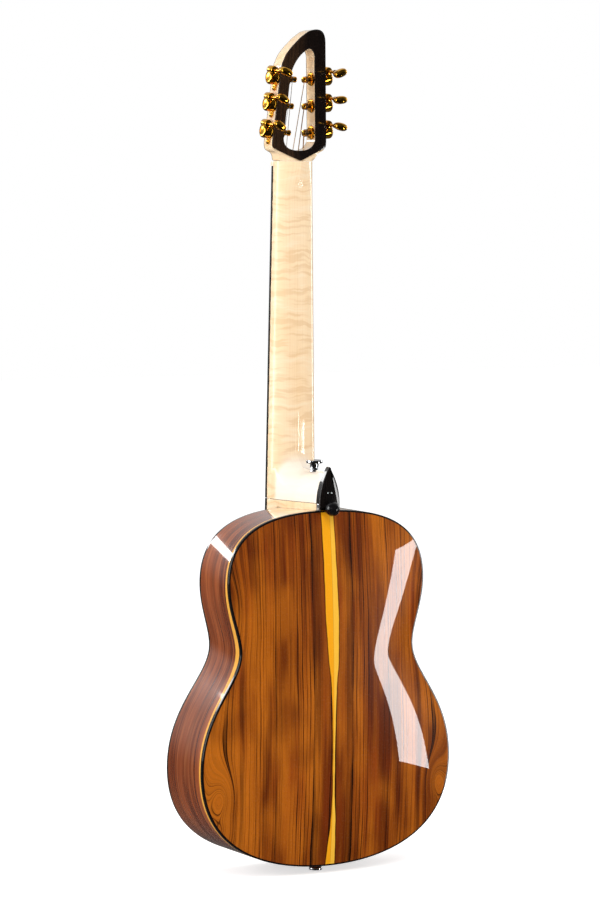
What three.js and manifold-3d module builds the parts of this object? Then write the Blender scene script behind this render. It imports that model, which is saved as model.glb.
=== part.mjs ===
// Folding guitar: a small steel-string guitar whose neck folds forward over the soundboard.
// Millimetres. +Z runs up the neck, +Y is the back of the guitar, +X is the treble side.
// The origin is the middle of the end button's flat face, at the tail of the body.
import * as THREE from 'three';
import { mergeVertices } from 'three/addons/utils/BufferGeometryUtils.js';
import Module from 'manifold-3d';

const wasm = await Module();
wasm.setup();

// Fits: the clearance between pieces that seat on each other, and how far a cutter runs past
const gap = 0.3;
const overrun = 2;
const weld = 0.0001;

// Heights along the neck
const endButtonHeight = 8.6;
const bodyLength = 384.6;
const footHeight = 7.6;
const scaleLength = 645;
const saddleShare = 0.2751;
const saddleCompensation = 2;
const fingerboardOverhang = 61.4;
const bodyBottom = endButtonHeight;
const bodyTop = bodyBottom + bodyLength;
const partingHeight = bodyTop + footHeight;
const saddleHeight = bodyBottom + saddleShare * bodyLength;
const nutHeight = saddleHeight + saddleCompensation + scaleLength;
const neckLength = nutHeight - partingHeight;
const extensionEnd = partingHeight - fingerboardOverhang;

// Depths: the playing face of the fingerboard lies in front of the end button's axis
const fingerboardFace = -68;
const soundboardAtTail = -63;
const soundboardAtTop = -41.3;
const bodyDepthAtTail = 90.1;
const bodyDepthAtTop = 61.8;
const backDish = 1.3;
const backArch = 8;

// Body outline: half widths, their heights as shares of the body, and the curves' handles
const upperBout = 120.3;
const waist = 106.3;
const lowerBout = 153.2;
const upperBoutShare = 0.804;
const waistShare = 0.615;
const lowerBoutShare = 0.288;
const shoulderHandleShares = [0.56, 0.8];
const upperFlankHandleShares = [0.4, 0.26];
const lowerFlankHandleShares = [0.26, 0.515];
const tailHandleShares = [0.846, 0.383];
const outlineSteps = 32;
const archCentreShare = 0.5;

// Body shell
const soundboardThickness = 2.8;
const backThickness = 2.6;
const ribThickness = 2.2;
const bindingWidth = 2;
const bindingHeight = 4;
const liningThickness = 5;
const liningHeight = 13;
const blockHalfWidthAtFront = 43;
const blockHalfWidthAtBack = 62;
const blockHeight = 32;
const tailBlockHalfWidth = 34;
const tailBlockHeight = 18;
const tailBlockDepth = 70;

// Soundboard fittings
const soundHoleRadius = 44;
const soundHoleMargin = 6.2;
const soundHoleHeight = extensionEnd - soundHoleMargin - soundHoleRadius;
const rosetteMargin = 5;
const rosetteWidth = 7;
const rosetteDepth = 1.2;
const braceWidth = 7;
const braceDepth = 12;
const crossBraceShare = 0.5632;
const crossBraceAngle = 50 * Math.PI / 180;
const braceEndMargin = 14;
const upperBraceDrop = 40;
const backBraceDrops = [60, 160, 275];
const backBraceDepth = 10;

// Bridge
const bridgeHalfWidth = 75;
const bridgeHeight = 28;
const bridgeThickness = 9;
const bridgePlateHalfWidth = 68;
const bridgePlateHeight = 34;
const bridgePlateThickness = 2.5;
const saddleHalfWidth = 36;
const saddleThickness = 3;
const saddleSeat = 4.5;
const stringHeightAtSaddle = 4;
const anchorDrop = 9;
const anchorRadius = 1.6;

// Fingerboard and nut
const fingerboardThickness = 4.2;
const halfWidthAtNut = 22.2;
const halfWidthAtBody = 28;
const fretHeight = 1;
const fretWidth = 2.2;
const fretInset = 0.8;
const lastFret = 18;
const nutThickness = 4.6;
const nutRise = 2.4;
const riserMargin = 6;

// Neck shaft and heel
const neckThicknessAtBody = 23.5;
const neckThicknessAtNut = 21.5;
const neckSideDepth = 5;
const voluteRise = 5.6;
const voluteLength = 34;
const heelShelfHeight = 31.8;
const heelCapInset = 2.2;
const heelCapFront = soundboardAtTop + bodyDepthAtTop - heelCapInset;
const trussRodRadius = 2.8;
const trussRodStart = 16;
const trussChannelDepth = 8;

// Heel cap, lock block and locking knob
const capThickness = 8;
const capHalfWidth = 12.4;
const capHeight = 39;
const capTailThickness = 2.2;
const capTailLap = 7.6;
const lockBlockHalfWidth = 12;
const lockStudRise = 2.5;
const lockStudRadius = 2;
const lockStudSeat = 12;
const lockSlotHalfWidth = 2.6;
const lockRunningGap = 0.5;
const washerRadius = 5.6;
const washerThickness = 1.2;
const knobRadius = 8.1;
const knobNeck = 7.2;

// Hinge at the playing face
const hingeAhead = 0.4;
const knuckleRadius = 2.4;
const hingePinRadius = 1.1;
const hingeHalfWidth = 24;
const leafThickness = 2;
const leafDepth = 34;
const leafHalfWidth = 19;
const knuckleShares = [-1, -0.61, -0.2, 0.2, 0.61, 1];

// Strap button on the heel and end button
const strapButtonSetback = -8.9;
const strapButtonHeight = 12.6;
const strapDiscRadius = 9.3;
const strapStemRadius = 4.85;
const strapDiscThickness = 3.6;
const endDiscRadius = 7.4;
const endStemRadius = 4.9;
const endDiscThickness = 3.4;
const endShankRadius = 3.2;
const endShankLength = 22;

// Headstock, leaning back from the nut
const headstockLean = 0.0995;
const headstockLength = 141.6;
const headstockShoulder = 12.9;
const headstockThickness = 20.3;
const headstockBackAtShoulder = -45.6;
const headstockHalfWidth = 33.6;
const headstockTaper = 0.0716;
const frontVeneer = 1.2;
const backVeneer = 1.8;
const windowHalfWidth = 19.75;
const windowTaper = 0.0654;
const windowBottom = 11.1;
const windowTop = 120.6;
const windowCorner = 14;
const voluteTip = 6;
const rampLength = 19;
const rampDepth = 12;
const rampHalfWidth = 19.2;

// Tuning machines: worm and wheel, housing, post and key
const tunerFirstHeight = 31.8;
const tunerPitch = 28.65;
const postDepth = 8.8;
const postRadius = 3.3;
const postReach = 11.2;
const boreRadius = 5;
const sleeveRadius = 4.7;
const hexRadius = 6.9;
const hexThickness = 2.4;
const wheelTeeth = 14;
const wormLead = 2.5;
const wormPitchRadius = 2.4;
const toothDepth = 1.05;
const toothClearance = 0.4;
const wheelWidth = 2.4;
const drumRadius = 7.8;
const drumLength = 10.3;
const wallThickness = 1.2;
const wormBarrelRadius = 4.5;
const wormHalfLength = 3.75;
const wormBarrelHalfLength = 6;
const keyShaftRadius = 1.7;
const keyEnd = 35.5;
const buttonLength = 17.5;
const buttonHalfWidth = 7.2;
const buttonThickness = 8.4;
const lugReach = 14.2;
const lugHalfWidth = 3.3;
const lugThickness = 1.6;
const lugScrewRadius = 2.3;

// Strings, thickest on the bass side
const stringRadii = [0.15, 0.21, 0.33, 0.43, 0.53, 0.66];
const stringSpreadAtNut = 36;
const stringSpreadAtSaddle = 54;
const stringSides = 6;

// Colours
const finish = {
  back: { color: 0x8a4a12, roughness: 0.25, metalness: 0 },
  ribs: { color: 0x6b3014, roughness: 0.25, metalness: 0 },
  spruce: { color: 0xe3c48a, roughness: 0.4, metalness: 0 },
  maple: { color: 0xf3dcb4, roughness: 0.25, metalness: 0 },
  ebony: { color: 0x1c1614, roughness: 0.35, metalness: 0 },
  mahogany: { color: 0x8c5633, roughness: 0.6, metalness: 0 },
  bone: { color: 0xefe9d6, roughness: 0.4, metalness: 0 },
  pearl: { color: 0xb9c4b4, roughness: 0.3, metalness: 0.1 },
  blackPlastic: { color: 0x0d0d0e, roughness: 0.2, metalness: 0 },
  gold: { color: 0xc9962e, roughness: 0.2, metalness: 1 },
  chrome: { color: 0xd8dadc, roughness: 0.1, metalness: 1 },
  steel: { color: 0xa9acaf, roughness: 0.35, metalness: 1 },
  bronze: { color: 0xb98a52, roughness: 0.35, metalness: 1 },
};

// Closed meshes, joins and cuts
function turnedOut(geometry) {
  geometry.deleteAttribute('normal');
  geometry.deleteAttribute('uv');
  const welded = mergeVertices(geometry, weld);
  const corner = welded.getAttribute('position');
  const order = Array.from(welded.index.array);
  const [a, b, c] = [new THREE.Vector3(), new THREE.Vector3(), new THREE.Vector3()];
  const kept = [];
  let volume = 0;
  for (let i = 0; i < order.length; i += 3) {
    const [p, q, r] = order.slice(i, i + 3);
    if (p === q || q === r || r === p) continue;
    kept.push(p, q, r);
    a.fromBufferAttribute(corner, p);
    b.fromBufferAttribute(corner, q);
    c.fromBufferAttribute(corner, r);
    volume += a.dot(b.cross(c));
  }
  welded.setIndex(volume < 0 ? kept.reverse() : kept);
  welded.computeVertexNormals();
  return welded;
}

function solid(geometry) {
  const bare = turnedOut(geometry.clone());
  return new wasm.Manifold(new wasm.Mesh({
    numProp: 3,
    vertProperties: new Float32Array(bare.getAttribute('position').array),
    triVerts: new Uint32Array(bare.index.array),
  }));
}

function surface(manifold) {
  const { vertProperties, triVerts } = manifold.getMesh();
  const geometry = new THREE.BufferGeometry();
  geometry.setAttribute('position', new THREE.BufferAttribute(new Float32Array(vertProperties), 3));
  geometry.setIndex(Array.from(triVerts));
  geometry.computeVertexNormals();
  return geometry;
}

function join(first, ...others) {
  return surface(others.reduce((whole, next) => whole.add(solid(next)), solid(first)));
}

function cut(first, ...cutters) {
  return surface(cutters.reduce((whole, next) => whole.subtract(solid(next)), solid(first)));
}

// A box between two opposite corners
function block(x0, x1, y0, y1, z0, z1) {
  const geometry = new THREE.BoxGeometry(x1 - x0, y1 - y0, z1 - z0);
  return geometry.translate((x0 + x1) / 2, (y0 + y1) / 2, (z0 + z1) / 2);
}

// A round bar along one axis; the centre's entry for that axis isn't used
function rod(axis, radius, from, to, centre, sides = 16) {
  const geometry = new THREE.CylinderGeometry(radius, radius, to - from, sides);
  if (axis === 'x') geometry.rotateZ(-Math.PI / 2);
  if (axis === 'z') geometry.rotateX(Math.PI / 2);
  const middle = new THREE.Vector3(...centre);
  middle[axis] = (from + to) / 2;
  return geometry.translate(middle.x, middle.y, middle.z);
}

// A plate whose outline is drawn in X and Z and whose two faces follow given depths
function slab(shape, front, back, steps = 1) {
  const geometry = new THREE.ExtrudeGeometry(shape, { depth: 1, steps, bevelEnabled: false });
  const corner = geometry.getAttribute('position');
  for (let i = 0; i < corner.count; i += 1) {
    const x = corner.getX(i);
    const z = corner.getY(i);
    corner.setXYZ(i, x, THREE.MathUtils.lerp(front(x, z), back(x, z), corner.getZ(i)), z);
  }
  return turnedOut(geometry);
}

// A flat ring of points in two dimensions, seen along the axis it faces most
function flatRing(ring) {
  const normal = new THREE.Vector3();
  ring.forEach((p, i) => normal.add(p.clone().cross(ring[(i + 1) % ring.length])));
  const facing = ['x', 'y', 'z'].sort((s, t) => Math.abs(normal[t]) - Math.abs(normal[s]))[0];
  const [u, v] = { x: ['y', 'z'], y: ['z', 'x'], z: ['x', 'y'] }[facing];
  return ring.map((p) => new THREE.Vector2(p[u], p[v]));
}

function capFaces(ring, forward) {
  const flat = flatRing(ring);
  const faces = THREE.ShapeUtils.triangulateShape(flat.map((p) => p.clone()), []);
  const turn = Math.sign(THREE.ShapeUtils.area(flat));
  const first = Math.sign(THREE.ShapeUtils.area(faces[0].map((i) => flat[i])));
  return faces.map((face) => ((turn === first) === forward ? face : face.slice().reverse()));
}

// A skin through rings of equal count, closed by flat ends or back onto its first ring
function loft(rings, loop = false) {
  const count = rings[0].length;
  const corners = rings.flat().flatMap((p) => [p.x, p.y, p.z]);
  const faces = [];
  const spans = loop ? rings.length : rings.length - 1;
  for (let r = 0; r < spans; r += 1) {
    const near = r * count;
    const far = ((r + 1) % rings.length) * count;
    for (let i = 0; i < count; i += 1) {
      const j = (i + 1) % count;
      faces.push(near + i, near + j, far + i);
      faces.push(far + i, near + j, far + j);
    }
  }
  if (!loop) {
    const last = (rings.length - 1) * count;
    capFaces(rings[0], false).forEach((face) => faces.push(...face));
    capFaces(rings.at(-1), true).forEach((face) => faces.push(...face.map((i) => i + last)));
  }
  const geometry = new THREE.BufferGeometry();
  geometry.setAttribute('position', new THREE.Float32BufferAttribute(corners, 3));
  geometry.setIndex(faces);
  return turnedOut(geometry);
}

// A lathe profile of [radius, height] pairs turned about +Z
function turned(profile, sides = 20) {
  const points = profile.map(([radius, height]) => new THREE.Vector2(radius, height));
  return turnedOut(new THREE.LatheGeometry(points, sides).rotateX(Math.PI / 2));
}

const shapeOf = (pairs) => new THREE.Shape(pairs.map(([x, z]) => new THREE.Vector2(x, z)));
const mirrored = (pairs) => [...pairs, ...pairs.map(([x, z]) => [-x, z]).reverse()];

// Depth of the soundboard's face and of the back's edge at a height
function bodyShare(z) {
  return (z - bodyBottom) / bodyLength;
}

function soundboardFace(z) {
  return THREE.MathUtils.lerp(soundboardAtTail, soundboardAtTop, bodyShare(z));
}

function backEdge(z) {
  const share = bodyShare(z);
  const depth = THREE.MathUtils.lerp(bodyDepthAtTail, bodyDepthAtTop, share);
  return soundboardFace(z) + depth + backDish * 4 * share * (1 - share);
}

// The treble half of the body outline, from the top of the body to the tail
const outline = new THREE.CurvePath();
{
  const heightAt = (share) => bodyBottom + share * bodyLength;
  const places = [
    new THREE.Vector2(0, bodyTop),
    new THREE.Vector2(upperBout, heightAt(upperBoutShare)),
    new THREE.Vector2(waist, heightAt(waistShare)),
    new THREE.Vector2(lowerBout, heightAt(lowerBoutShare)),
    new THREE.Vector2(0, bodyBottom),
  ];
  const handles = [shoulderHandleShares, upperFlankHandleShares, lowerFlankHandleShares, tailHandleShares];
  handles.forEach(([leave, arrive], i) => {
    const [start, end] = [places[i], places[i + 1]];
    const fall = start.y - end.y;
    const away = i === 0
      ? new THREE.Vector2(leave * end.x, start.y)
      : new THREE.Vector2(start.x, start.y - leave * fall);
    const home = i === handles.length - 1
      ? new THREE.Vector2(arrive * start.x, end.y)
      : new THREE.Vector2(end.x, end.y + arrive * fall);
    outline.add(new THREE.CubicBezierCurve(start, away, home, end));
  });
}

// A point of the outline and the way into the body there
function outlineAt(share) {
  const point = outline.getPoint(share);
  const along = outline.getTangent(share);
  const inward = new THREE.Vector2(along.y, -along.x);
  if (share <= 0 || share >= 1) inward.set(0, share <= 0 ? -1 : 1);
  return { point, inward };
}

function insetOutline(inset) {
  const half = Array.from({ length: outlineSteps + 1 }, (_, i) => {
    const { point, inward } = outlineAt(i / outlineSteps);
    return point.clone().addScaledVector(inward, inset);
  });
  return [...half, ...half.slice(1, -1).reverse().map((p) => new THREE.Vector2(-p.x, p.y))];
}

// Where on the outline the shoulder reaches a half width, as a share
function shareAtHalfWidth(halfWidth) {
  let share = 0;
  while (outline.getPoint(share).x < halfWidth) share += 1 / (outlineSteps * outlineSteps);
  return share;
}

// How far out a point lies between the middle of the back, 0, and its outline, 1
const archCentre = new THREE.Vector2(0, bodyBottom + archCentreShare * bodyLength);
const edgeOutline = insetOutline(0);

function edgeShare(x, z) {
  const reach = new THREE.Vector2(x, z).sub(archCentre);
  let share = 0;
  edgeOutline.forEach((p, i) => {
    const a = p.clone().sub(archCentre);
    const along = edgeOutline[(i + 1) % edgeOutline.length].clone().sub(p);
    const turn = reach.cross(along);
    if (turn === 0) return;
    const away = a.cross(along) / turn;
    const place = a.cross(reach) / turn;
    if (away > 0 && place >= 0 && place <= 1) share = Math.max(share, 1 / away);
  });
  return share;
}

// Rise of the arched back, in flat steps between the rings its plate is built on
const archShares = [0.3, 0.6, 0.85, 1];

function archRise(share) {
  const rise = (s) => backArch * (1 - s ** 2.4);
  const outer = archShares.find((s) => s >= Math.min(1, share));
  const inner = archShares[archShares.indexOf(outer) - 1];
  if (inner === undefined) return rise(outer);
  return THREE.MathUtils.mapLinear(Math.min(1, share), inner, outer, rise(inner), rise(outer));
}

function backInside(x, z) {
  return backEdge(z) + archRise(edgeShare(x, z)) - backThickness;
}

// Body plates
function makeSoundboard() {
  const shape = new THREE.Shape(insetOutline(bindingWidth + gap));
  shape.holes.push(new THREE.Path().absarc(0, soundHoleHeight, soundHoleRadius, 0, 2 * Math.PI));
  const board = slab(shape, (x, z) => soundboardFace(z), (x, z) => soundboardFace(z) + soundboardThickness);
  const groove = ring(soundHoleRadius + rosetteMargin - gap, rosetteWidth + 2 * gap);
  return cut(board, slab(
    groove,
    (x, z) => soundboardFace(z) - overrun,
    (x, z) => soundboardFace(z) + rosetteDepth + gap,
  ));
}

function ring(inner, width) {
  const shape = new THREE.Shape().absarc(0, soundHoleHeight, inner + width, 0, 2 * Math.PI);
  shape.holes.push(new THREE.Path().absarc(0, soundHoleHeight, inner, 0, 2 * Math.PI));
  return shape;
}

function makeRosette() {
  const shape = ring(soundHoleRadius + rosetteMargin, rosetteWidth);
  return slab(shape, (x, z) => soundboardFace(z), (x, z) => soundboardFace(z) + rosetteDepth);
}

function makeBack() {
  const edge = insetOutline(bindingWidth + gap);
  const ringAt = (share, depth) => edge.map((p) => {
    const q = p.clone().sub(archCentre).multiplyScalar(share).add(archCentre);
    return new THREE.Vector3(q.x, backEdge(q.y) + archRise(share) - depth, q.y);
  });
  return loft([
    ...archShares.map((share) => ringAt(share, 0)),
    ...archShares.slice().reverse().map((share) => ringAt(share, backThickness)),
  ]);
}

function makeBinding(depthAt, height) {
  const outer = insetOutline(0);
  const inner = insetOutline(bindingWidth);
  const rings = outer.map((p, i) => {
    const q = inner[i];
    return [
      new THREE.Vector3(p.x, depthAt(p.y), p.y),
      new THREE.Vector3(q.x, depthAt(q.y), q.y),
      new THREE.Vector3(q.x, depthAt(q.y) + height, q.y),
      new THREE.Vector3(p.x, depthAt(p.y) + height, p.y),
    ];
  });
  return loft(rings, true);
}

// One rib with its two linings, from the neck block to the middle of the tail
function makeRib(side) {
  const wall = bindingHeight + gap;
  const seat = soundboardThickness + gap;
  const lined = ribThickness + liningThickness;
  const slope = liningThickness;
  const behindBinding = bindingWidth + gap;
  const section = [
    [0, wall, 0], [behindBinding, wall, 0], [behindBinding, seat, 0], [lined, seat, 0],
    [lined, seat + liningHeight, 0], [ribThickness, seat + liningHeight + slope, 0],
    [ribThickness, -seat - liningHeight - slope, 1], [lined, -seat - liningHeight, 1],
    [lined, -seat, 1], [behindBinding, -seat, 1], [behindBinding, -wall, 1], [0, -wall, 1],
  ];
  const starts = section.map(([inset, depth, fromBack]) => {
    const way = (fromBack * bodyDepthAtTop + depth - wall) / (bodyDepthAtTop - 2 * wall);
    const halfWidth = THREE.MathUtils.lerp(blockHalfWidthAtFront, blockHalfWidthAtBack, way);
    return shareAtHalfWidth(halfWidth + 2 * gap + inset / 8);
  });
  const stations = [starts];
  const first = Math.ceil(Math.max(...starts) * outlineSteps + 0.5);
  for (let step = first; step <= outlineSteps; step += 1) {
    stations.push(section.map(() => step / outlineSteps));
  }
  const rib = loft(stations.map((shares) => section.map(([inset, depth, fromBack], i) => {
    const { point, inward } = outlineAt(shares[i]);
    const q = point.clone().addScaledVector(inward, inset);
    const y = fromBack ? backEdge(q.y) + depth : soundboardFace(q.y) + depth;
    return new THREE.Vector3(side * Math.max(q.x, gap / 2), y, q.y);
  })));
  return cut(rib, endShank(gap));
}

// Neck block, flush with the ribs at the top of the body
function makeNeckBlock() {
  const steps = 5;
  const rings = [0, 1].map((fromBack) => {
    const halfWidth = fromBack ? blockHalfWidthAtBack : blockHalfWidthAtFront;
    const end = shareAtHalfWidth(halfWidth);
    const crest = Array.from({ length: steps + 1 }, (_, i) => {
      const p = outline.getPoint((end * i) / steps);
      return [p.x, p.y];
    });
    const { point, inward } = outlineAt(end);
    const foot = point.clone().addScaledVector(inward, blockHeight);
    const half = [...crest.slice(1), [foot.x, foot.y]];
    const whole = [crest[0], ...half, ...half.map(([x, z]) => [-x, z]).reverse()];
    return whole.map(([x, z]) => {
      const y = fromBack
        ? backEdge(z) - bindingHeight - gap
        : soundboardFace(z) + bindingHeight + gap;
      return new THREE.Vector3(x, y, z);
    });
  });
  return loft(rings);
}

function makeTailBlock() {
  const inset = ribThickness + liningThickness + gap;
  const bottom = bodyBottom + inset + gap;
  const front = soundboardFace(bottom) + soundboardThickness + 2 * gap;
  const shape = shapeOf([
    [-tailBlockHalfWidth, bottom + inset / 2], [-tailBlockHalfWidth / 2, bottom],
    [tailBlockHalfWidth / 2, bottom], [tailBlockHalfWidth, bottom + inset / 2],
    [tailBlockHalfWidth, bottom + tailBlockHeight], [-tailBlockHalfWidth, bottom + tailBlockHeight],
  ]);
  const piece = slab(shape, (x, z) => soundboardFace(z) + soundboardThickness + 2 * gap,
    () => front + tailBlockDepth);
  return cut(piece, endShank(gap));
}

// Half the body's width at a height
function outlineHalfWidth(z) {
  const below = edgeOutline.findIndex((p) => p.y < z);
  const [a, b] = [edgeOutline[below - 1], edgeOutline[below]];
  return THREE.MathUtils.mapLinear(z, a.y, b.y, a.x, b.x);
}

// How far a brace runs from the middle, at an angle to the upright, before it nears the lining
const braceStep = 1;

function braceReach(height, angle) {
  const clear = ribThickness + liningThickness + braceEndMargin;
  let reach = 0;
  while (outlineHalfWidth(height + reach * Math.cos(angle)) - reach * Math.sin(angle) > clear) {
    reach += braceStep;
  }
  return reach;
}

// Braces, on the inner faces of the soundboard and the back
function soundboardBar(shape, depth) {
  return slab(
    shape,
    (x, z) => soundboardFace(z) + soundboardThickness + gap,
    (x, z) => soundboardFace(z) + soundboardThickness + gap + depth,
  );
}

function bar(x0, z0, x1, z1, width) {
  const along = new THREE.Vector2(x1 - x0, z1 - z0).normalize().multiplyScalar(width / 2);
  return shapeOf([
    [x0 - along.y, z0 + along.x], [x0 + along.y, z0 - along.x],
    [x1 + along.y, z1 - along.x], [x1 - along.y, z1 + along.x],
  ]);
}

function makeCrossBrace() {
  const centre = bodyBottom + crossBraceShare * bodyLength;
  const upperReach = braceReach(centre, crossBraceAngle);
  const lowerReach = braceReach(centre, Math.PI - crossBraceAngle);
  const legs = [-1, 1].map((side) => {
    const reach = side * Math.sin(crossBraceAngle);
    const rise = Math.cos(crossBraceAngle);
    return soundboardBar(bar(
      reach * upperReach, centre + rise * upperReach,
      -reach * lowerReach, centre - rise * lowerReach, braceWidth,
    ), braceDepth);
  });
  return join(...legs);
}

function makeBackBrace(drop) {
  const height = bodyTop - drop;
  const halfLength = braceReach(height, Math.PI / 2);
  const steps = 8;
  const upper = Array.from({ length: steps + 1 }, (_, i) => {
    return [THREE.MathUtils.lerp(-halfLength, halfLength, i / steps), height + braceWidth / 2];
  });
  const lower = upper.map(([x]) => [x, height - braceWidth / 2]).reverse();
  return slab(
    shapeOf([...upper, ...lower]),
    (x, z) => backInside(x, z) - 2 * gap - backBraceDepth,
    (x, z) => backInside(x, z) - 2 * gap,
  );
}

// Bridge, its plate under the soundboard, and the saddle.
// Each row holds shares from the middle outwards: half width, height, thickness
const bridgeShares = [[0, 1, 1], [0.5, 1, 1], [0.62, 0.9, 0.5], [0.9, 0.72, 0.38], [1, 0.5, 0.34]];
const bridgeFoot = saddleHeight - bridgeHeight * 0.62;
const saddleCrest = fingerboardFace - fretHeight - stringHeightAtSaddle;

function makeBridge() {
  const middle = bridgeFoot + bridgeHeight / 2;
  const half = bridgeShares.slice(1).map(([across, ...rest]) => [-across, ...rest]).reverse();
  const body = loft([...half, ...bridgeShares].map(([across, high, thick]) => {
    const [low, top] = [-1, 1].map((end) => middle + (end * high * bridgeHeight) / 2);
    return [[low, 0], [low, thick * 0.7], [low + bridgeHeight / 8, thick],
      [top - bridgeHeight / 8, thick], [top, thick * 0.7], [top, 0]].map(([z, rise]) => {
      return new THREE.Vector3(
        across * bridgeHalfWidth, soundboardFace(z) - gap - rise * bridgeThickness, z,
      );
    });
  }));
  const slotFront = soundboardFace(saddleHeight) - bridgeThickness - overrun;
  const slot = block(
    -saddleHalfWidth - gap, saddleHalfWidth + gap, slotFront,
    soundboardFace(saddleHeight) - bridgeThickness + saddleSeat + gap,
    saddleHeight - saddleThickness / 2 - gap, saddleHeight + saddleThickness / 2 + gap,
  );
  const anchors = stringPlaces(stringSpreadAtSaddle).map((x) => rod(
    'y', anchorRadius, slotFront, soundboardFace(saddleHeight) - bridgeThickness / 3,
    [x, 0, saddleHeight - anchorDrop], 8,
  ));
  return cut(body, slot, ...anchors);
}

function makeSaddle() {
  return block(
    -saddleHalfWidth, saddleHalfWidth, saddleCrest + stringRadii.at(-1) + gap,
    soundboardFace(saddleHeight) - bridgeThickness + saddleSeat,
    saddleHeight - saddleThickness / 2, saddleHeight + saddleThickness / 2,
  );
}

function makeBridgePlate() {
  const middle = bridgeFoot + bridgeHeight / 2;
  return soundboardBar(shapeOf([
    [-bridgePlateHalfWidth, middle - bridgePlateHeight / 2],
    [bridgePlateHalfWidth, middle - bridgePlateHeight / 2],
    [bridgePlateHalfWidth, middle + bridgePlateHeight / 2],
    [-bridgePlateHalfWidth, middle + bridgePlateHeight / 2],
  ]), bridgePlateThickness);
}

// Fingerboard in two lengths, parted at the hinge, with its frets
const fretDistance = (number) => scaleLength * (1 - 2 ** (-number / 12));
const hingeY = fingerboardFace - hingeAhead;

function fingerboardHalfWidth(z) {
  const share = (nutHeight - z) / neckLength;
  return THREE.MathUtils.lerp(halfWidthAtNut, halfWidthAtBody, share);
}

function knuckleRelief() {
  const reach = 2 * hingeHalfWidth;
  return rod('x', knuckleRadius + gap, -reach, reach, [0, hingeY, partingHeight], 16);
}

function makeFingerboard(low, high) {
  const outlinePairs = [[fingerboardHalfWidth(low), low], [fingerboardHalfWidth(high), high]];
  const board = slab(
    shapeOf(mirrored(outlinePairs)), () => fingerboardFace, () => fingerboardFace + fingerboardThickness,
  );
  const frets = [];
  for (let number = 1; number <= lastFret; number += 1) {
    const z = nutHeight - fretDistance(number);
    if (z < low + fretWidth / 2 || z > high - fretWidth / 2) continue;
    const reach = fingerboardHalfWidth(z) - fretInset;
    const crown = fretWidth / 4;
    frets.push(loft([-reach, reach].map((x) => [
      new THREE.Vector3(x, fingerboardFace + fretHeight / 2, z - fretWidth / 2),
      new THREE.Vector3(x, fingerboardFace - fretHeight / 2, z - fretWidth / 2),
      new THREE.Vector3(x, fingerboardFace - fretHeight, z - crown),
      new THREE.Vector3(x, fingerboardFace - fretHeight, z + crown),
      new THREE.Vector3(x, fingerboardFace - fretHeight / 2, z + fretWidth / 2),
      new THREE.Vector3(x, fingerboardFace + fretHeight / 2, z + fretWidth / 2),
    ])));
  }
  return cut(join(board, ...frets), knuckleRelief(), leafPocket(low > partingHeight ? 1 : -1));
}

const boardBack = fingerboardFace + fingerboardThickness + gap;

// The wedge that carries the fingerboard's end over the leaning soundboard
function makeRiser() {
  const low = extensionEnd + riserMargin;
  const high = bodyTop + 2 * gap;
  const pairs = [[fingerboardHalfWidth(low) - gap, low], [fingerboardHalfWidth(high) - gap, high]];
  return slab(shapeOf(mirrored(pairs)), () => boardBack, (x, z) => soundboardFace(z) - gap);
}

function makeNut() {
  return block(
    -halfWidthAtNut, halfWidthAtNut, fingerboardFace - nutRise, boardBack - gap,
    nutHeight + gap, nutHeight + gap + nutThickness,
  );
}

// Heel: arches that narrow and sharpen from the neck back to the cap.
// Each row holds shares: way back, half width, height above the shelf, and the arch's fullness
const heelDepth = heelCapFront - gap - boardBack;
const heelFrontHeight = 62;
const heelShares = [
  [0, 0.985, 1, 6],
  [0.14, 0.975, 0.72, 5],
  [0.24, 0.94, 0.4, 4.2],
  [0.33, 0.9, 0.14, 3.8],
  [0.42, 0.85, 0.02, 3.4],
  [0.62, 0.72, 0, 3],
  [0.8, 0.58, 0, 2.7],
  [0.93, 0.475, 0.02, 2.3],
  [1, 0.44, 0.06, 2.1],
];

function heelArch(wayShare, widthShare, heightShare, fullness, base) {
  const y = boardBack + wayShare * heelDepth;
  const halfWidth = widthShare * halfWidthAtBody;
  const height = THREE.MathUtils.lerp(heelShelfHeight, heelFrontHeight, heightShare);
  const steps = 8;
  const half = Array.from({ length: steps + 1 }, (_, i) => {
    const climb = Math.sin((i / steps) * (Math.PI / 2));
    return [halfWidth * (1 - climb ** fullness), base + height * climb];
  });
  const whole = [...half, ...half.slice(0, -1).map(([x, z]) => [-x, z]).reverse()];
  return whole.map(([x, z]) => new THREE.Vector3(x, y, z));
}

function neckThickness(z) {
  const share = (nutHeight - z) / neckLength;
  const plain = THREE.MathUtils.lerp(neckThicknessAtNut, neckThicknessAtBody, share);
  const near = THREE.MathUtils.smoothstep(z, shaftTop - voluteLength, shaftTop);
  return plain + voluteRise * near;
}

const shaftTop = nutHeight + nutThickness + 2 * gap;

function neckRing(z) {
  const halfWidth = fingerboardHalfWidth(Math.min(z, nutHeight));
  const depth = neckThickness(z) - fingerboardThickness - gap - neckSideDepth;
  const steps = 10;
  const arc = Array.from({ length: steps + 1 }, (_, i) => {
    const angle = (i / steps) * Math.PI;
    const x = halfWidth * Math.sign(Math.cos(angle)) * Math.abs(Math.cos(angle)) ** 0.85;
    return new THREE.Vector3(x, boardBack + neckSideDepth + depth * Math.sin(angle), z);
  });
  return [
    new THREE.Vector3(halfWidth, boardBack, z), ...arc, new THREE.Vector3(-halfWidth, boardBack, z),
  ];
}

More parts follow.
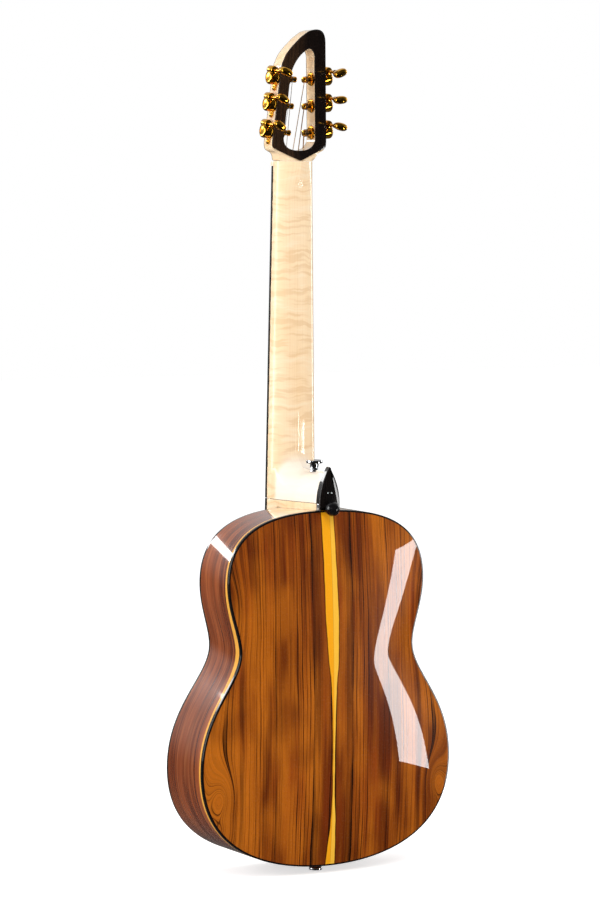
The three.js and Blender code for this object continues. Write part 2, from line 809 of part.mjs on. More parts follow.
function makeNeckShaft() {
  const base = partingHeight + gap;
  const heights = [0, 0.12, 0.35, 0.65, 0.88].map((share) => base + share * (nutHeight - base));
  const shaft = loft([...heights, shaftTop - voluteLength / 3, shaftTop].map(neckRing));
  const heel = loft(heelShares.map((row) => heelArch(...row, base)));
  const rodHeight = partingHeight + trussRodStart;
  const channel = block(
    -trussRodRadius - gap, trussRodRadius + gap, boardBack - overrun, boardBack + trussChannelDepth,
    rodHeight - gap, nutHeight - trussRodStart + gap,
  );
  const nutSeat = block(
    -halfWidthAtBody, halfWidthAtBody, boardBack - overrun, boardBack, nutHeight, shaftTop - gap,
  );
  return cut(join(shaft, heel), channel, nutSeat, leafPocket(1), knuckleRelief());
}

function makeTrussRod() {
  return rod(
    'z', trussRodRadius, partingHeight + trussRodStart, nutHeight - trussRodStart,
    [0, boardBack + trussChannelDepth - gap - trussRodRadius, 0], 12,
  );
}

// Foot plate: the heel's own plan, standing on the top of the body
function makeFootPlate() {
  const back = lockBlockFront - gap;
  const plan = heelShares.map(([way, width]) => [width * halfWidthAtBody, boardBack + way * heelDepth]);
  const kept = [...plan.filter(([, y]) => y < back), [plan.at(-1)[0], back]];
  const rings = [bodyTop + gap, partingHeight - gap].map((z) => mirrored(kept)
    .map(([x, y]) => new THREE.Vector3(x, y, z)));
  const studBore = rod(
    'y', lockStudRadius + gap, lockBlockFront - lockStudSeat - gap, lockBlockFront + overrun,
    [0, 0, bodyTop + lockStudRise], 12,
  );
  return cut(join(loft(rings), makeRiser()), leafPocket(-1), knuckleRelief(), studBore);
}

// Hinge leaves, let into the heel's foot (upper, 1) and into the foot plate (lower, -1)
function leafPocket(side) {
  const face = partingHeight + side * gap;
  const deep = face + side * (leafThickness + gap);
  const open = face - side * overrun;
  return block(
    -leafHalfWidth - gap, leafHalfWidth + gap, hingeY, hingeY + leafDepth + gap,
    Math.min(open, deep), Math.max(open, deep),
  );
}

function makeHingeLeaf(side) {
  const near = partingHeight + side * gap;
  const far = near + side * leafThickness;
  const plate = block(
    -leafHalfWidth, leafHalfWidth, hingeY, hingeY + leafDepth,
    Math.min(near, far), Math.max(near, far),
  );
  const spans = knuckleShares.slice(0, -1).map((share, i) => [share, knuckleShares[i + 1]]);
  const barrel = (span, radius, trim) => rod(
    'x', radius, span[0] * hingeHalfWidth + trim, span[1] * hingeHalfWidth - trim,
    [0, hingeY, partingHeight], 10,
  );
  const own = spans.filter((_, i) => (i % 2 === 0) === (side < 0));
  const other = spans.filter((_, i) => (i % 2 === 0) !== (side < 0));
  const bored = rod(
    'x', hingePinRadius + gap, -2 * hingeHalfWidth, 2 * hingeHalfWidth, [0, hingeY, partingHeight], 8,
  );
  const cleared = cut(plate, ...other.map((span) => barrel(span, knuckleRadius + gap, -gap / 2)));
  return cut(join(cleared, ...own.map((span) => barrel(span, knuckleRadius, gap / 2))), bored);
}

function makeHingePin() {
  return rod('x', hingePinRadius, -hingeHalfWidth - gap, hingeHalfWidth + gap, [0, hingeY, partingHeight], 8);
}

// Heel cap with its forked tail, lock block, stud, washer and knob
const lockBlockFront = heelCapFront - gap;
const capBack = heelCapFront + capThickness;
const tailFront = capBack - capTailThickness;
const studHeight = bodyTop + lockStudRise;

function makeHeelCap() {
  const base = partingHeight + gap;
  const steps = 10;
  const half = Array.from({ length: steps + 1 }, (_, i) => {
    const climb = i / steps;
    return [capHalfWidth * (1 - climb ** 2), base + capHeight * climb];
  });
  const arch = shapeOf([...half, ...half.slice(0, -1).map(([x, z]) => [-x, z]).reverse()]);
  const shield = slab(arch, () => heelCapFront, () => capBack);
  const tailEnd = partingHeight - capTailLap;
  const tail = block(-capHalfWidth, capHalfWidth, tailFront, capBack, tailEnd, base + overrun);
  const slot = join(
    rod('y', lockSlotHalfWidth, tailFront - overrun, capBack + overrun, [0, 0, studHeight], 16),
    block(
      -lockSlotHalfWidth, lockSlotHalfWidth, tailFront - overrun, capBack + overrun,
      tailEnd - overrun, studHeight,
    ),
  );
  return cut(join(shield, tail), slot);
}

function makeLockBlock() {
  const piece = block(
    -lockBlockHalfWidth, lockBlockHalfWidth, lockBlockFront, tailFront - gap,
    bodyTop + gap, partingHeight - gap,
  );
  return cut(piece, rod(
    'y', lockStudRadius + gap, lockBlockFront - overrun, tailFront + overrun, [0, 0, studHeight], 12,
  ));
}

const washerFront = capBack + lockRunningGap;
const knobFace = washerFront + washerThickness + gap;

function makeClampWasher() {
  const shape = new THREE.Shape().absarc(0, studHeight, washerRadius, 0, 2 * Math.PI);
  shape.holes.push(new THREE.Path().absarc(0, studHeight, lockStudRadius + gap, 0, 2 * Math.PI));
  return slab(shape, () => washerFront, () => washerFront + washerThickness);
}

function alongY(geometry, y, z) {
  return geometry.rotateX(-Math.PI / 2).translate(0, y, z);
}

function makeLockStud() {
  const length = knobFace - gap - (lockBlockFront - lockStudSeat);
  const stud = turned([[0, 0], [lockStudRadius, 0], [lockStudRadius, length], [0, length]], 12);
  return alongY(stud, lockBlockFront - lockStudSeat, studHeight);
}

function makeLockKnob() {
  const steps = 8;
  const rise = Math.sqrt(knobRadius ** 2 - knobNeck ** 2);
  const start = Math.atan2(knobNeck, -rise);
  const profile = Array.from({ length: steps + 1 }, (_, i) => {
    const angle = THREE.MathUtils.lerp(start, 0, i / steps);
    return [i === steps ? 0 : knobRadius * Math.sin(angle), rise + knobRadius * Math.cos(angle)];
  });
  return alongY(turned([[0, 0], ...profile], 18), knobFace, studHeight);
}

// Buttons for a strap: one on the heel's shelf, one at the tail
function makeStrapButton() {
  const top = strapButtonHeight;
  const rim = top - strapDiscThickness;
  return turned([
    [0, 0], [strapStemRadius * 1.15, 0], [strapStemRadius, rim / 3], [strapStemRadius, rim * 0.8],
    [strapDiscRadius * 0.8, rim], [strapDiscRadius, rim + strapDiscThickness * 0.3],
    [strapDiscRadius, top - strapDiscThickness * 0.25], [strapDiscRadius * 0.9, top], [0, top],
  ]).translate(0, strapButtonSetback, partingHeight + gap + heelShelfHeight + gap);
}

function endShank(clearance) {
  return rod(
    'z', endShankRadius + clearance, bodyBottom - overrun, bodyBottom + endShankLength + clearance,
    [0, 0, 0], 12,
  );
}

function makeEndButton() {
  const head = turned([
    [0, 0], [endDiscRadius * 0.86, 0], [endDiscRadius, endDiscThickness * 0.3],
    [endDiscRadius, endDiscThickness * 0.75], [endStemRadius, endDiscThickness],
    [endStemRadius, endButtonHeight - gap], [0, endButtonHeight - gap],
  ]);
  return join(head, endShank(0));
}

// Headstock: an open frame in three layers, leaning back
const headstockBottom = shaftTop + gap;
const shoulderHeight = headstockBottom + headstockShoulder;

function headstockBack(z) {
  return headstockBackAtShoulder + headstockLean * (z - shoulderHeight);
}

function headstockFront(z) {
  return headstockBack(z) - headstockThickness;
}

function voluteAt(x, z) {
  const down = THREE.MathUtils.clamp((shoulderHeight - z) / headstockShoulder, 0, 1);
  const middle = 1 - Math.min(1, Math.abs(x) / headstockHalfWidth);
  return voluteTip * down * middle;
}

// The crest slopes from a tight bass corner down to the treble side, and the shoulders
// round into the neck. Each row holds shares of the half width and of the length
const crestShares = [
  [-0.757, 0.905], [-0.74, 0.935], [-0.69, 0.965], [-0.61, 0.987], [-0.52, 0.997], [-0.357, 0.999],
  [-0.131, 0.985], [0.152, 0.937], [0.461, 0.864], [0.65, 0.807], [0.768, 0.742], [0.8, 0.722],
];
const shoulderShares = [[0.99, 0.14], [0.975, 0.095], [0.9, 0.065], [0.78, 0.03], [0.661, 0]];

function sideEdge(z) {
  return headstockHalfWidth - headstockTaper * (z - shoulderHeight);
}

function windowPath() {
  const bottom = headstockBottom + windowBottom;
  const at = (z) => windowHalfWidth - windowTaper * (z - bottom - windowCorner);
  const low = bottom + windowCorner;
  const top = headstockBottom + windowTop;
  const path = new THREE.Path();
  path.moveTo(-at(low), low);
  path.quadraticCurveTo(-at(low), bottom, 0, bottom);
  path.quadraticCurveTo(at(low), bottom, at(low), low);
  const trebleShoulder = top - 28 / 110 * (top - bottom);
  path.lineTo(at(trebleShoulder), trebleShoulder);
  path.quadraticCurveTo(at(top) * 0.7, top - windowCorner * 0.55, -at(top) * 0.4, top);
  path.quadraticCurveTo(-at(top), top, -at(top), top - windowCorner * 0.8);
  path.lineTo(-at(low), low);
  return path;
}

function headstockShape(pointed) {
  const place = ([across, up]) => [across * headstockHalfWidth, headstockBottom + up * headstockLength];
  const rounded = [...shoulderShares, ...shoulderShares.slice().reverse().map(([x, up]) => [-x, up])];
  const drawn = shoulderShares.slice(0, 2);
  const tipped = [...drawn, [0, 0], ...drawn.slice().reverse().map(([x, up]) => [-x, up])];
  const shape = shapeOf([...crestShares, ...(pointed ? tipped : rounded)].map(place));
  shape.holes.push(new THREE.Path(windowPath().getPoints(6)));
  return shape;
}

function tunerHeights() {
  return [0, 1, 2].map((i) => headstockBottom + tunerFirstHeight + i * tunerPitch);
}

function makeHeadstock() {
  const core = slab(
    headstockShape(false),
    (x, z) => headstockFront(z) + frontVeneer + gap,
    (x, z) => headstockBack(z) - backVeneer - gap + voluteAt(x, z),
  );
  const bores = [-1, 1].flatMap((side) => [0, 1, 2].map((index) => {
    const { group } = placeTuner(side, index);
    const reach = headstockHalfWidth;
    return rod('x', boreRadius, -side * reach / 2 - reach / 2, -side * reach / 2 + reach / 2, [0, 0, 0], 10)
      .translate(side * overrun, 0, 0).applyMatrix4(group.matrix);
  }));
  return cut(core, ...bores, ramp());
}

function ramp() {
  const low = headstockBottom + windowBottom - rampLength + windowCorner / 2;
  const wedge = loft([-rampHalfWidth, rampHalfWidth].map((x) => [
    new THREE.Vector3(x, headstockFront(low) - overrun, low - rampLength / 4),
    new THREE.Vector3(x, headstockFront(low) + rampDepth, low + rampLength),
    new THREE.Vector3(x, headstockFront(low) - overrun, low + rampLength),
  ]));
  return wedge;
}

function makeFrontVeneer() {
  return cut(slab(
    headstockShape(false), (x, z) => headstockFront(z), (x, z) => headstockFront(z) + frontVeneer,
  ), ramp());
}

function makeBackVeneer() {
  return slab(
    headstockShape(true),
    (x, z) => headstockBack(z) - backVeneer + voluteAt(x, z),
    (x, z) => headstockBack(z) + voluteAt(x, z),
  );
}

// Tuning machine in its own frame: X out of the headstock's side, Y back, Z up the headstock.
// The post's axis is X; the key's worm runs along Y above the wheel
const wheelPitchRadius = (wheelTeeth * wormLead) / (2 * Math.PI);
const keyOffset = wheelPitchRadius + wormPitchRadius;
const halfTooth = toothDepth / 2;
const wheelMiddle = drumLength / 2 + wallThickness / 2;

function makeHousing(railWidth) {
  const base = gap;
  const drum = rod('x', drumRadius, base, drumLength, [0, 0, 0], 16);
  const keyPlace = [wheelMiddle, 0, keyOffset];
  const barrel = rod('y', wormBarrelRadius, -wormBarrelHalfLength, wormBarrelHalfLength, keyPlace, 12);
  const lug = block(base, base + lugThickness, -lugHalfWidth, lugHalfWidth, -lugReach, 0);
  const screw = rod(
    'x', lugScrewRadius, base, base + lugThickness + wallThickness,
    [0, 0, -lugReach + lugScrewRadius + wallThickness / 2], 6,
  );
  const sleeve = rod('x', sleeveRadius, -railWidth - gap, base + wallThickness, [0, 0, 0], 8);
  const hex = rod('x', hexRadius, -railWidth - gap - hexThickness, -railWidth - gap, [0, 0, 0], 6);
  const wheelRoom = wheelPitchRadius + halfTooth + gap;
  const wormRoom = wormPitchRadius + halfTooth + gap;
  const cavity = rod('x', wheelRoom, wheelMiddle - wheelWidth, wheelMiddle + wheelWidth, [0, 0, 0], 14);
  const bore = rod('x', postRadius + gap, -railWidth - 4 * hexThickness, wheelMiddle, [0, 0, 0], 10);
  const wormCavity = rod('y', wormRoom, -wormHalfLength - gap, wormHalfLength + gap, keyPlace, 10);
  const keyBore = rod('y', keyShaftRadius + gap, 0, 2 * wormBarrelHalfLength, keyPlace, 8);
  return cut(join(drum, barrel, lug, screw, sleeve, hex), cavity, bore, wormCavity, keyBore);
}

function makePost(railWidth) {
  const tip = -railWidth - postReach;
  const post = rod('x', postRadius, tip, wheelMiddle, [0, 0, 0], 10);
  const waistCut = cut(
    rod('x', postRadius + overrun, tip + postReach * 0.28, tip + postReach * 0.62, [0, 0, 0], 10),
    rod('x', postRadius * 0.84, tip, 0, [0, 0, 0], 10),
  );
  const root = wheelPitchRadius - halfTooth;
  const crown = wheelPitchRadius + halfTooth;
  const toothAngle = (2 * Math.PI) / wheelTeeth;
  const flank = (wormLead / 2 - toothClearance) / 2;
  const teeth = Array.from({ length: wheelTeeth }, (_, i) => {
    const middle = Math.PI / 2 + i * toothAngle;
    const at = (radius, half) => {
      const angle = middle + half / radius;
      return new THREE.Vector2(radius * Math.cos(angle), radius * Math.sin(angle));
    };
    return [at(root, -flank * 1.3), at(crown, -flank * 0.7), at(crown, flank * 0.7), at(root, flank * 1.3)];
  }).flat();
  const rings = [-wheelWidth / 2, wheelWidth / 2].map((x) => teeth.map((p) => {
    return new THREE.Vector3(wheelMiddle + x, p.x, p.y);
  }));
  return join(cut(post, waistCut), loft(rings));
}

// The worm's thread is a ridge wound on the key's shaft
function makeKey(turn) {
  const root = wormPitchRadius - halfTooth;
  const crest = wormPitchRadius + halfTooth;
  const flank = (wormLead / 2 - toothClearance) / 2;
  const stepsPerTurn = 8;
  const turns = (2 * (wormHalfLength - wormLead / 2)) / wormLead;
  const steps = Math.round(turns * stepsPerTurn);
  const startAngle = -(turns / 2) * 2 * Math.PI;
  const ridge = loft(Array.from({ length: steps + 1 }, (_, i) => {
    const angle = startAngle + (i / stepsPerTurn) * 2 * Math.PI;
    const along = (angle / (2 * Math.PI)) * wormLead;
    const out = (radius, y) => new THREE.Vector3(radius * Math.sin(angle), y, radius * Math.cos(angle));
    return [
      out(root * 0.7, along - flank * 1.3), out(crest, along - flank * 0.7),
      out(crest, along + flank * 0.7), out(root * 0.7, along + flank * 1.3),
    ];
  }));
  const core = rod('y', root, -wormHalfLength, wormHalfLength, [0, 0, 0], 8);
  const shaft = rod('y', keyShaftRadius, 0, keyEnd - buttonLength + overrun, [0, 0, 0], 8);
  const start = keyEnd - buttonLength;
  const buttonShares = [[0, 0.36, 0.55], [0.4, 0.84, 0.95], [0.8, 1, 1], [1, 0.72, 0.62]];
  const button = loft(buttonShares.map(([way, wide, thick]) => Array.from({ length: 10 }, (_, i) => {
    const angle = (i / 10) * 2 * Math.PI;
    const bulge = (value) => Math.sign(value) * Math.abs(value) ** 0.75;
    return new THREE.Vector3(
      buttonHalfWidth * wide * bulge(Math.cos(angle)),
      start + way * buttonLength,
      (buttonThickness / 2) * thick * bulge(Math.sin(angle)),
    );
  }))).rotateY(turn);
  return join(core, ridge, shaft, button).translate(wheelMiddle, 0, keyOffset);
}

// Keys rest as they were left, each at its own angle, in degrees
const keyTurns = { treble: [-20, -28, -32], bass: [22, 2, -18] };

function placeTuner(side, index) {
  const z = tunerHeights()[index];
  const group = new THREE.Group();
  group.position.set(side * sideEdge(z), headstockBack(z) - postDepth, z);
  group.rotation.set(-Math.atan(headstockLean), -side * Math.atan(headstockTaper), 0);
  group.updateMatrix();
  const bottom = headstockBottom + windowBottom;
  const wall = windowHalfWidth - windowTaper * (z - bottom - windowCorner);
  const railWidth = sideEdge(z) - wall + hexRadius * windowTaper;
  return { group, railWidth };
}

// A mirrored copy for the bass side, as left and right hand machines are made
function mirrorX(geometry) {
  return turnedOut(geometry.scale(-1, 1, 1));
}

// Strings: anchored in the bridge, over saddle and nut, each to its post
function stringPlaces(spread) {
  return stringRadii.map((_, i) => spread / 2 - (i * spread) / (stringRadii.length - 1));
}

function tube(points, radius) {
  const rings = points.map((p, i) => {
    const before = points[Math.max(0, i - 1)];
    const after = points[Math.min(points.length - 1, i + 1)];
    const along = after.clone().sub(before).normalize();
    const across = new THREE.Vector3(1, 0, 0).addScaledVector(along, -along.x).normalize();
    const over = along.clone().cross(across);
    return Array.from({ length: stringSides }, (_, k) => {
      const angle = (k / stringSides) * 2 * Math.PI;
      return p.clone()
        .addScaledVector(across, radius * Math.cos(angle))
        .addScaledVector(over, radius * Math.sin(angle));
    });
  });
  return loft(rings);
}

function makeString(index) {
  const radius = stringRadii[index];
  const lift = stringRadii.at(-1);
  const atSaddle = stringPlaces(stringSpreadAtSaddle)[index];
  const atNut = stringPlaces(stringSpreadAtNut)[index];
  const side = index < 3 ? 1 : -1;
  const rank = index < 3 ? index : 5 - index;
  const postZ = tunerHeights()[rank];
  const { railWidth } = placeTuner(side, rank);
  const postX = side * (sideEdge(postZ) - railWidth - postReach * 0.55);
  const postY = headstockBack(postZ) - postDepth - postRadius - radius - gap;
  const nutTop = fingerboardFace - nutRise - lift;
  const crest = saddleCrest - lift + stringRadii.at(-1);
  const anchorZ = saddleHeight - anchorDrop;
  const anchorY = soundboardFace(anchorZ) - bridgeThickness * 0.6;
  const overBridge = soundboardFace(anchorZ) - bridgeThickness - gap - lift;
  return tube([
    new THREE.Vector3(atSaddle, anchorY, anchorZ),
    new THREE.Vector3(atSaddle, overBridge, anchorZ + anchorRadius / 4),
    new THREE.Vector3(atSaddle, crest, saddleHeight - saddleThickness / 2),
    new THREE.Vector3(atSaddle, crest, saddleHeight + saddleThickness / 2),
    new THREE.Vector3(atNut, nutTop, nutHeight + gap),
    new THREE.Vector3(atNut, nutTop, nutHeight + gap + nutThickness),
    new THREE.Vector3(postX, postY, postZ),
  ], radius);
}

// Assembly
const guitar = new THREE.Group();

function add(name, geometry, look, parent = guitar) {
  const mesh = new THREE.Mesh(geometry, new THREE.MeshStandardMaterial(finish[look]));
  mesh.name = name;
  parent.add(mesh);
}

add('soundboard', makeSoundboard(), 'spruce');
add('rosette', makeRosette(), 'pearl');
add('back_plate', makeBack(), 'back');
add('rib_treble', makeRib(1), 'ribs');
add('rib_bass', makeRib(-1), 'ribs');
add('front_binding', makeBinding(soundboardFace, bindingHeight), 'ebony');
add('back_binding', makeBinding((z) => backEdge(z) - bindingHeight, bindingHeight), 'ebony');
add('neck_block', makeNeckBlock(), 'maple');
add('tail_block', makeTailBlock(), 'mahogany');
add('cross_brace', makeCrossBrace(), 'spruce');
const upperBar = bodyTop - upperBraceDrop;
const upperBarReach = braceReach(upperBar, Math.PI / 2);
add('upper_brace', soundboardBar(
  bar(-upperBarReach, upperBar, upperBarReach, upperBar, braceWidth), braceDepth,
), 'spruce');
backBraceDrops.forEach((drop, i) => {
  add(`back_brace_${i + 1}`, makeBackBrace(drop), 'mahogany');
});
add('bridge_plate', makeBridgePlate(), 'maple');
add('bridge', makeBridge(), 'ebony');
add('saddle', makeSaddle(), 'bone');
add('fingerboard_extension', makeFingerboard(extensionEnd, partingHeight - gap), 'ebony');
add('foot_plate', makeFootPlate(), 'maple');
add('hinge_leaf_body', makeHingeLeaf(-1), 'steel');
add('hinge_leaf_neck', makeHingeLeaf(1), 'steel');
add('hinge_pin', makeHingePin(), 'steel');
add('lock_block', makeLockBlock(), 'chrome');
add('clamp_washer', makeClampWasher(), 'chrome');
add('lock_stud', makeLockStud(), 'steel');
add('lock_knob', makeLockKnob(), 'blackPlastic');
add('end_button', makeEndButton(), 'chrome');

add('neck_shaft', makeNeckShaft(), 'maple');
add('truss_rod', makeTrussRod(), 'steel');
add('fingerboard', makeFingerboard(partingHeight + gap, nutHeight), 'ebony');
add('nut', makeNut(), 'bone');
add('heel_cap', makeHeelCap(), 'ebony');
add('strap_button', makeStrapButton(), 'chrome');
add('headstock', makeHeadstock(), 'maple');
add('headstock_front_veneer', makeFrontVeneer(), 'ebony');
add('headstock_back_veneer', makeBackVeneer(), 'ebony');

[['treble', 1], ['bass', -1]].forEach(([name, side]) => {
  keyTurns[name].slice().reverse().forEach((degrees, index) => {
    const { group, railWidth } = placeTuner(side, index);
    const turn = (side * degrees * Math.PI) / 180;
    const pieces = {
      housing: makeHousing(railWidth),
      post: makePost(railWidth),
      key: makeKey(turn),
    };
    Object.entries(pieces).forEach(([piece, geometry]) => {
      add(`tuner_${piece}_${name}_${index + 1}`, side > 0 ? geometry : mirrorX(geometry), 'gold', group);
    });
    guitar.add(group);
  });
});

stringRadii.forEach((_, index) => {
  add(`string_${index + 1}`, makeString(index), index < 2 ? 'steel' : 'bronze');
});

export default guitar;
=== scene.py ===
from math import atan, cos, pi, radians, sin

import bmesh
import bpy
import numpy as np
from mathutils import Matrix, Vector


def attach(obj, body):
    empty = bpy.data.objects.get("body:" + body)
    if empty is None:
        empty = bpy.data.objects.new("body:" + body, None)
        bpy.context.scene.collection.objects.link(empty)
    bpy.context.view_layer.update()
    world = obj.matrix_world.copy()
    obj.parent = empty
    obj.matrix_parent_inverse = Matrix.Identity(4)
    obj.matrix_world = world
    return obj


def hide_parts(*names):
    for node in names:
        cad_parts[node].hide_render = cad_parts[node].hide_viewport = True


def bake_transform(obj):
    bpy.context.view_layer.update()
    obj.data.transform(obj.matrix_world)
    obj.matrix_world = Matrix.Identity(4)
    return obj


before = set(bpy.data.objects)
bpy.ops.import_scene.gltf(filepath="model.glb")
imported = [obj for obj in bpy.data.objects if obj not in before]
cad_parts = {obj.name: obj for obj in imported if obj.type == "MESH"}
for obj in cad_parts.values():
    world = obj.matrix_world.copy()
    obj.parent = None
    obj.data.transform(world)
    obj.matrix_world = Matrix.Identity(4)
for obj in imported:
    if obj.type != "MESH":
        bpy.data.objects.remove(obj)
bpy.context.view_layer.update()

# Studio: the instrument stands upright on a white floor in front of a white backdrop, in a room that is
# darker behind the camera. A tall strip box stands by the back's bass side, and a broad one by the ribs.
photo_camera_place = (1.8777, 3.3124, 0.7372)
photo_camera_right = (-0.87267, 0.48827, 0.00599)
photo_camera_up = (-0.03068, -0.06707, 0.99728)
photo_camera_way = (-0.48734, -0.87011, -0.07351)
photo_camera_lens = 141.89
room_light = 0.6
room_white = (1.0, 1.0, 1.0, 1.0)
floor_half_side = 9.0
floor_white = (0.82, 0.82, 0.82, 1.0)
floor_lift = 0.62

camera = bpy.data.objects.new("photo camera", bpy.data.cameras.new("photo camera"))
camera.data.sensor_width = 36
camera.data.lens = photo_camera_lens
camera_turn = Matrix((photo_camera_right, photo_camera_up, -Vector(photo_camera_way))).transposed().to_4x4()
camera.matrix_world = Matrix.Translation(photo_camera_place) @ camera_turn
bpy.context.collection.objects.link(camera)
bpy.context.scene.camera = camera
bpy.context.scene.view_settings.view_transform = "Standard"


def add_node(tree, kind, inputs=None, **settings):
    """A shader node. inputs gives a value or another node's socket for each of its own sockets."""
    made = tree.nodes.new(kind)
    for key, value in settings.items():
        setattr(made, key, value)
    for key, value in (inputs or {}).items():
        if isinstance(value, bpy.types.NodeSocket):
            tree.links.new(value, made.inputs[key])
        else:
            made.inputs[key].default_value = value
    return made


def maths(tree, operation, *values, clamp=False):
    """One sum of the values, as a socket."""
    return add_node(tree, "ShaderNodeMath", dict(enumerate(values)), operation=operation,
                    use_clamp=clamp).outputs[0]


def steps(tree, value, low, high, start=0.0, end=1.0):
    """value from low to high as start to end, easing in and out."""
    return add_node(tree, "ShaderNodeMapRange", {
        "Value": value, "From Min": low, "From Max": high, "To Min": start, "To Max": end,
    }, interpolation_type="SMOOTHSTEP").outputs[0]


def chained(operation):
    """A function that joins values by one operation, from the first on, and gives a socket."""
    def chain(tree, first, *others):
        for value in others:
            first = maths(tree, operation, first, value)
        return first
    return chain


times, plus, minus, over = (chained(operation) for operation in ("MULTIPLY", "ADD", "SUBTRACT", "DIVIDE"))


def seen_directly(tree):
    """1 for the rays that see a background from the camera or through a glass, and 1 for those off a
    gloss."""
    path = add_node(tree, "ShaderNodeLightPath").outputs
    seen = maths(tree, "MAXIMUM", path["Is Camera Ray"], path["Is Transmission Ray"])
    return seen, path["Is Glossy Ray"]


world = bpy.data.worlds.new("studio")
bpy.context.scene.world = world
world.use_nodes = True
tree = world.node_tree
tree.nodes.clear()
seen, glossy = seen_directly(tree)
way = add_node(tree, "ShaderNodeSeparateXYZ", {0: add_node(tree, "ShaderNodeTexCoord").outputs["Generated"]})
# The backdrop's half of the room is white in a gloss, and the half behind the camera falls to grey
away = plus(tree, times(tree, way.outputs[1], -0.87), times(tree, way.outputs[0], -0.3))
behind = steps(tree, away, -0.35, 0.45, 0.04, 0.6)
above = steps(tree, way.outputs[2], -0.15, 0.2, 0.15, 1.0)
in_gloss = times(tree, glossy, times(tree, behind, above))
plain = times(tree, minus(tree, 1.0, maths(tree, "MAXIMUM", seen, glossy)), room_light)
strength = plus(tree, seen, in_gloss, plain)
sky = add_node(tree, "ShaderNodeBackground", {"Color": room_white, "Strength": strength})
add_node(tree, "ShaderNodeOutputWorld", {"Surface": sky.outputs[0]})

floor_mesh = bpy.data.meshes.new("studio floor")
floor_corners = np.array([[-1, -1, 0], [1, -1, 0], [1, 1, 0], [-1, 1, 0]]) * floor_half_side
floor_mesh.from_pydata(floor_corners, [], [(0, 1, 2, 3)])
floor = bpy.data.objects.new("studio floor", floor_mesh)
bpy.context.collection.objects.link(floor)
paper = bpy.data.materials.new("white floor paper")
paper.use_nodes = True
tree = paper.node_tree
paint = tree.nodes["Principled BSDF"]
paint.inputs["Base Color"].default_value = floor_white
paint.inputs["Roughness"].default_value = 0.9
paint.inputs["Specular IOR Level"].default_value = 0.0
paint.inputs["Emission Color"].default_value = room_white
seen, glossy = seen_directly(tree)
lift = times(tree, maths(tree, "MAXIMUM", seen, glossy), floor_lift)
tree.links.new(lift, paint.inputs["Emission Strength"])
floor_mesh.materials.append(paper)
floor.visible_glossy = False


def soft_box(name, place, aim, width, height, power, glossy=True):
    """A rectangular studio lamp that faces the point aim, width across and height up."""
    data = bpy.data.lights.new(name, "AREA")
    data.shape = "RECTANGLE"
    data.size, data.size_y, data.energy = width, height, power
    lamp = bpy.data.objects.new(name, data)
    turn = (Vector(aim) - Vector(place)).to_track_quat("-Z", "Y")
    lamp.matrix_world = Matrix.Translation(place) @ turn.to_matrix().to_4x4()
    lamp.visible_camera = False
    lamp.visible_glossy = glossy
    bpy.context.collection.objects.link(lamp)


soft_box("strip box by the back", (-0.93, 1.06, 0.135), (-0.09, 0.07, 0.17), 0.135, 0.54, 3.0)
soft_box("broad box by the ribs", (2.3, -0.5, 0.9), (0, 0, 0.45), 0.9, 1.5, 26)
soft_box("strip box by the treble side", (2.5, 0.55, 0.9), (0, 0, 0.55), 0.24, 1.5, 3.6)
soft_box("window box by the camera", (2.3, 1.93, 1.1), (0, 0, 0.5), 0.45, 0.7, 0.9)
soft_box("strip box by the bass side", (-2.4, -0.35, 0.95), (0, 0, 0.6), 0.25, 1.5, 9)
soft_box("box behind", (0.9, -2.2, 1.25), (0.12, 0, 0.3), 0.9, 0.3, 7)
soft_box("overhead box", (0.9, 2.6, 2.6), (0, 0, 0.4), 1.8, 1.8, 48, glossy=False)


# Soundboard: a spruce plate of two bookmatched halves, with the round sound hole cut in it.
# It leans back against the neck, and is flat. The body's outline is drawn here for all that follows.
body_bottom, body_top = 8.6, 393.2
body_length = body_top - body_bottom
outline_places = ((0, 1), (120.3, 0.804), (106.3, 0.615), (153.2, 0.288), (0, 0))
outline_handles = ((0.56, 0.8), (0.4, 0.26), (0.26, 0.515), (0.846, 0.383))
soundboard_at_tail, soundboard_at_top, soundboard_thickness = -63.0, -41.3, 2.8
binding_width = 2.0
sound_hole_height, sound_hole_radius = 289.2, 44.0
spruce_pale, spruce_deep = (236, 199, 142), (203, 150, 88)
arris = 0.5
under_coat_gloss = 0.08
outline_count, top_count = 1201, 200


def colour(red, green, blue):
    """A colour as seen on a screen, 0 to 255, as the shader's own numbers."""
    share = np.array([red, green, blue]) / 255
    return (*np.where(share <= 0.04045, share / 12.92, ((share + 0.055) / 1.055) ** 2.4), 1.0)


def half_outline():
    """The treble half of the body's outline from the top to the tail: four cubic curves, tangent where they
    meet."""
    t = np.linspace(0, 1, 400)[:, None]
    runs = []
    for i, (leave, arrive) in enumerate(outline_handles):
        a, d = (np.array([x, body_bottom + share * body_length]) for x, share in outline_places[i:i + 2])
        fall = a[1] - d[1]
        b = np.array([leave * d[0], a[1]]) if i == 0 else a - [0, leave * fall]
        c = np.array([arrive * a[0], d[1]]) if i == 3 else d + [0, arrive * fall]
        runs.append(a * (1 - t) ** 3 + b * 3 * t * (1 - t) ** 2 + c * 3 * t ** 2 * (1 - t) + d * t ** 3)
    return np.concatenate(runs)


def even(points, count, closed=False):
    """The same line with count points, evenly spaced along it."""
    line = np.concatenate([points, points[:1]]) if closed else points
    way = np.concatenate([[0], np.cumsum(np.linalg.norm(np.diff(line, axis=0), axis=1))])
    at = np.linspace(0, way[-1], count, endpoint=not closed)
    return np.stack([np.interp(at, way, line[:, k]) for k in range(line.shape[1])], axis=1)


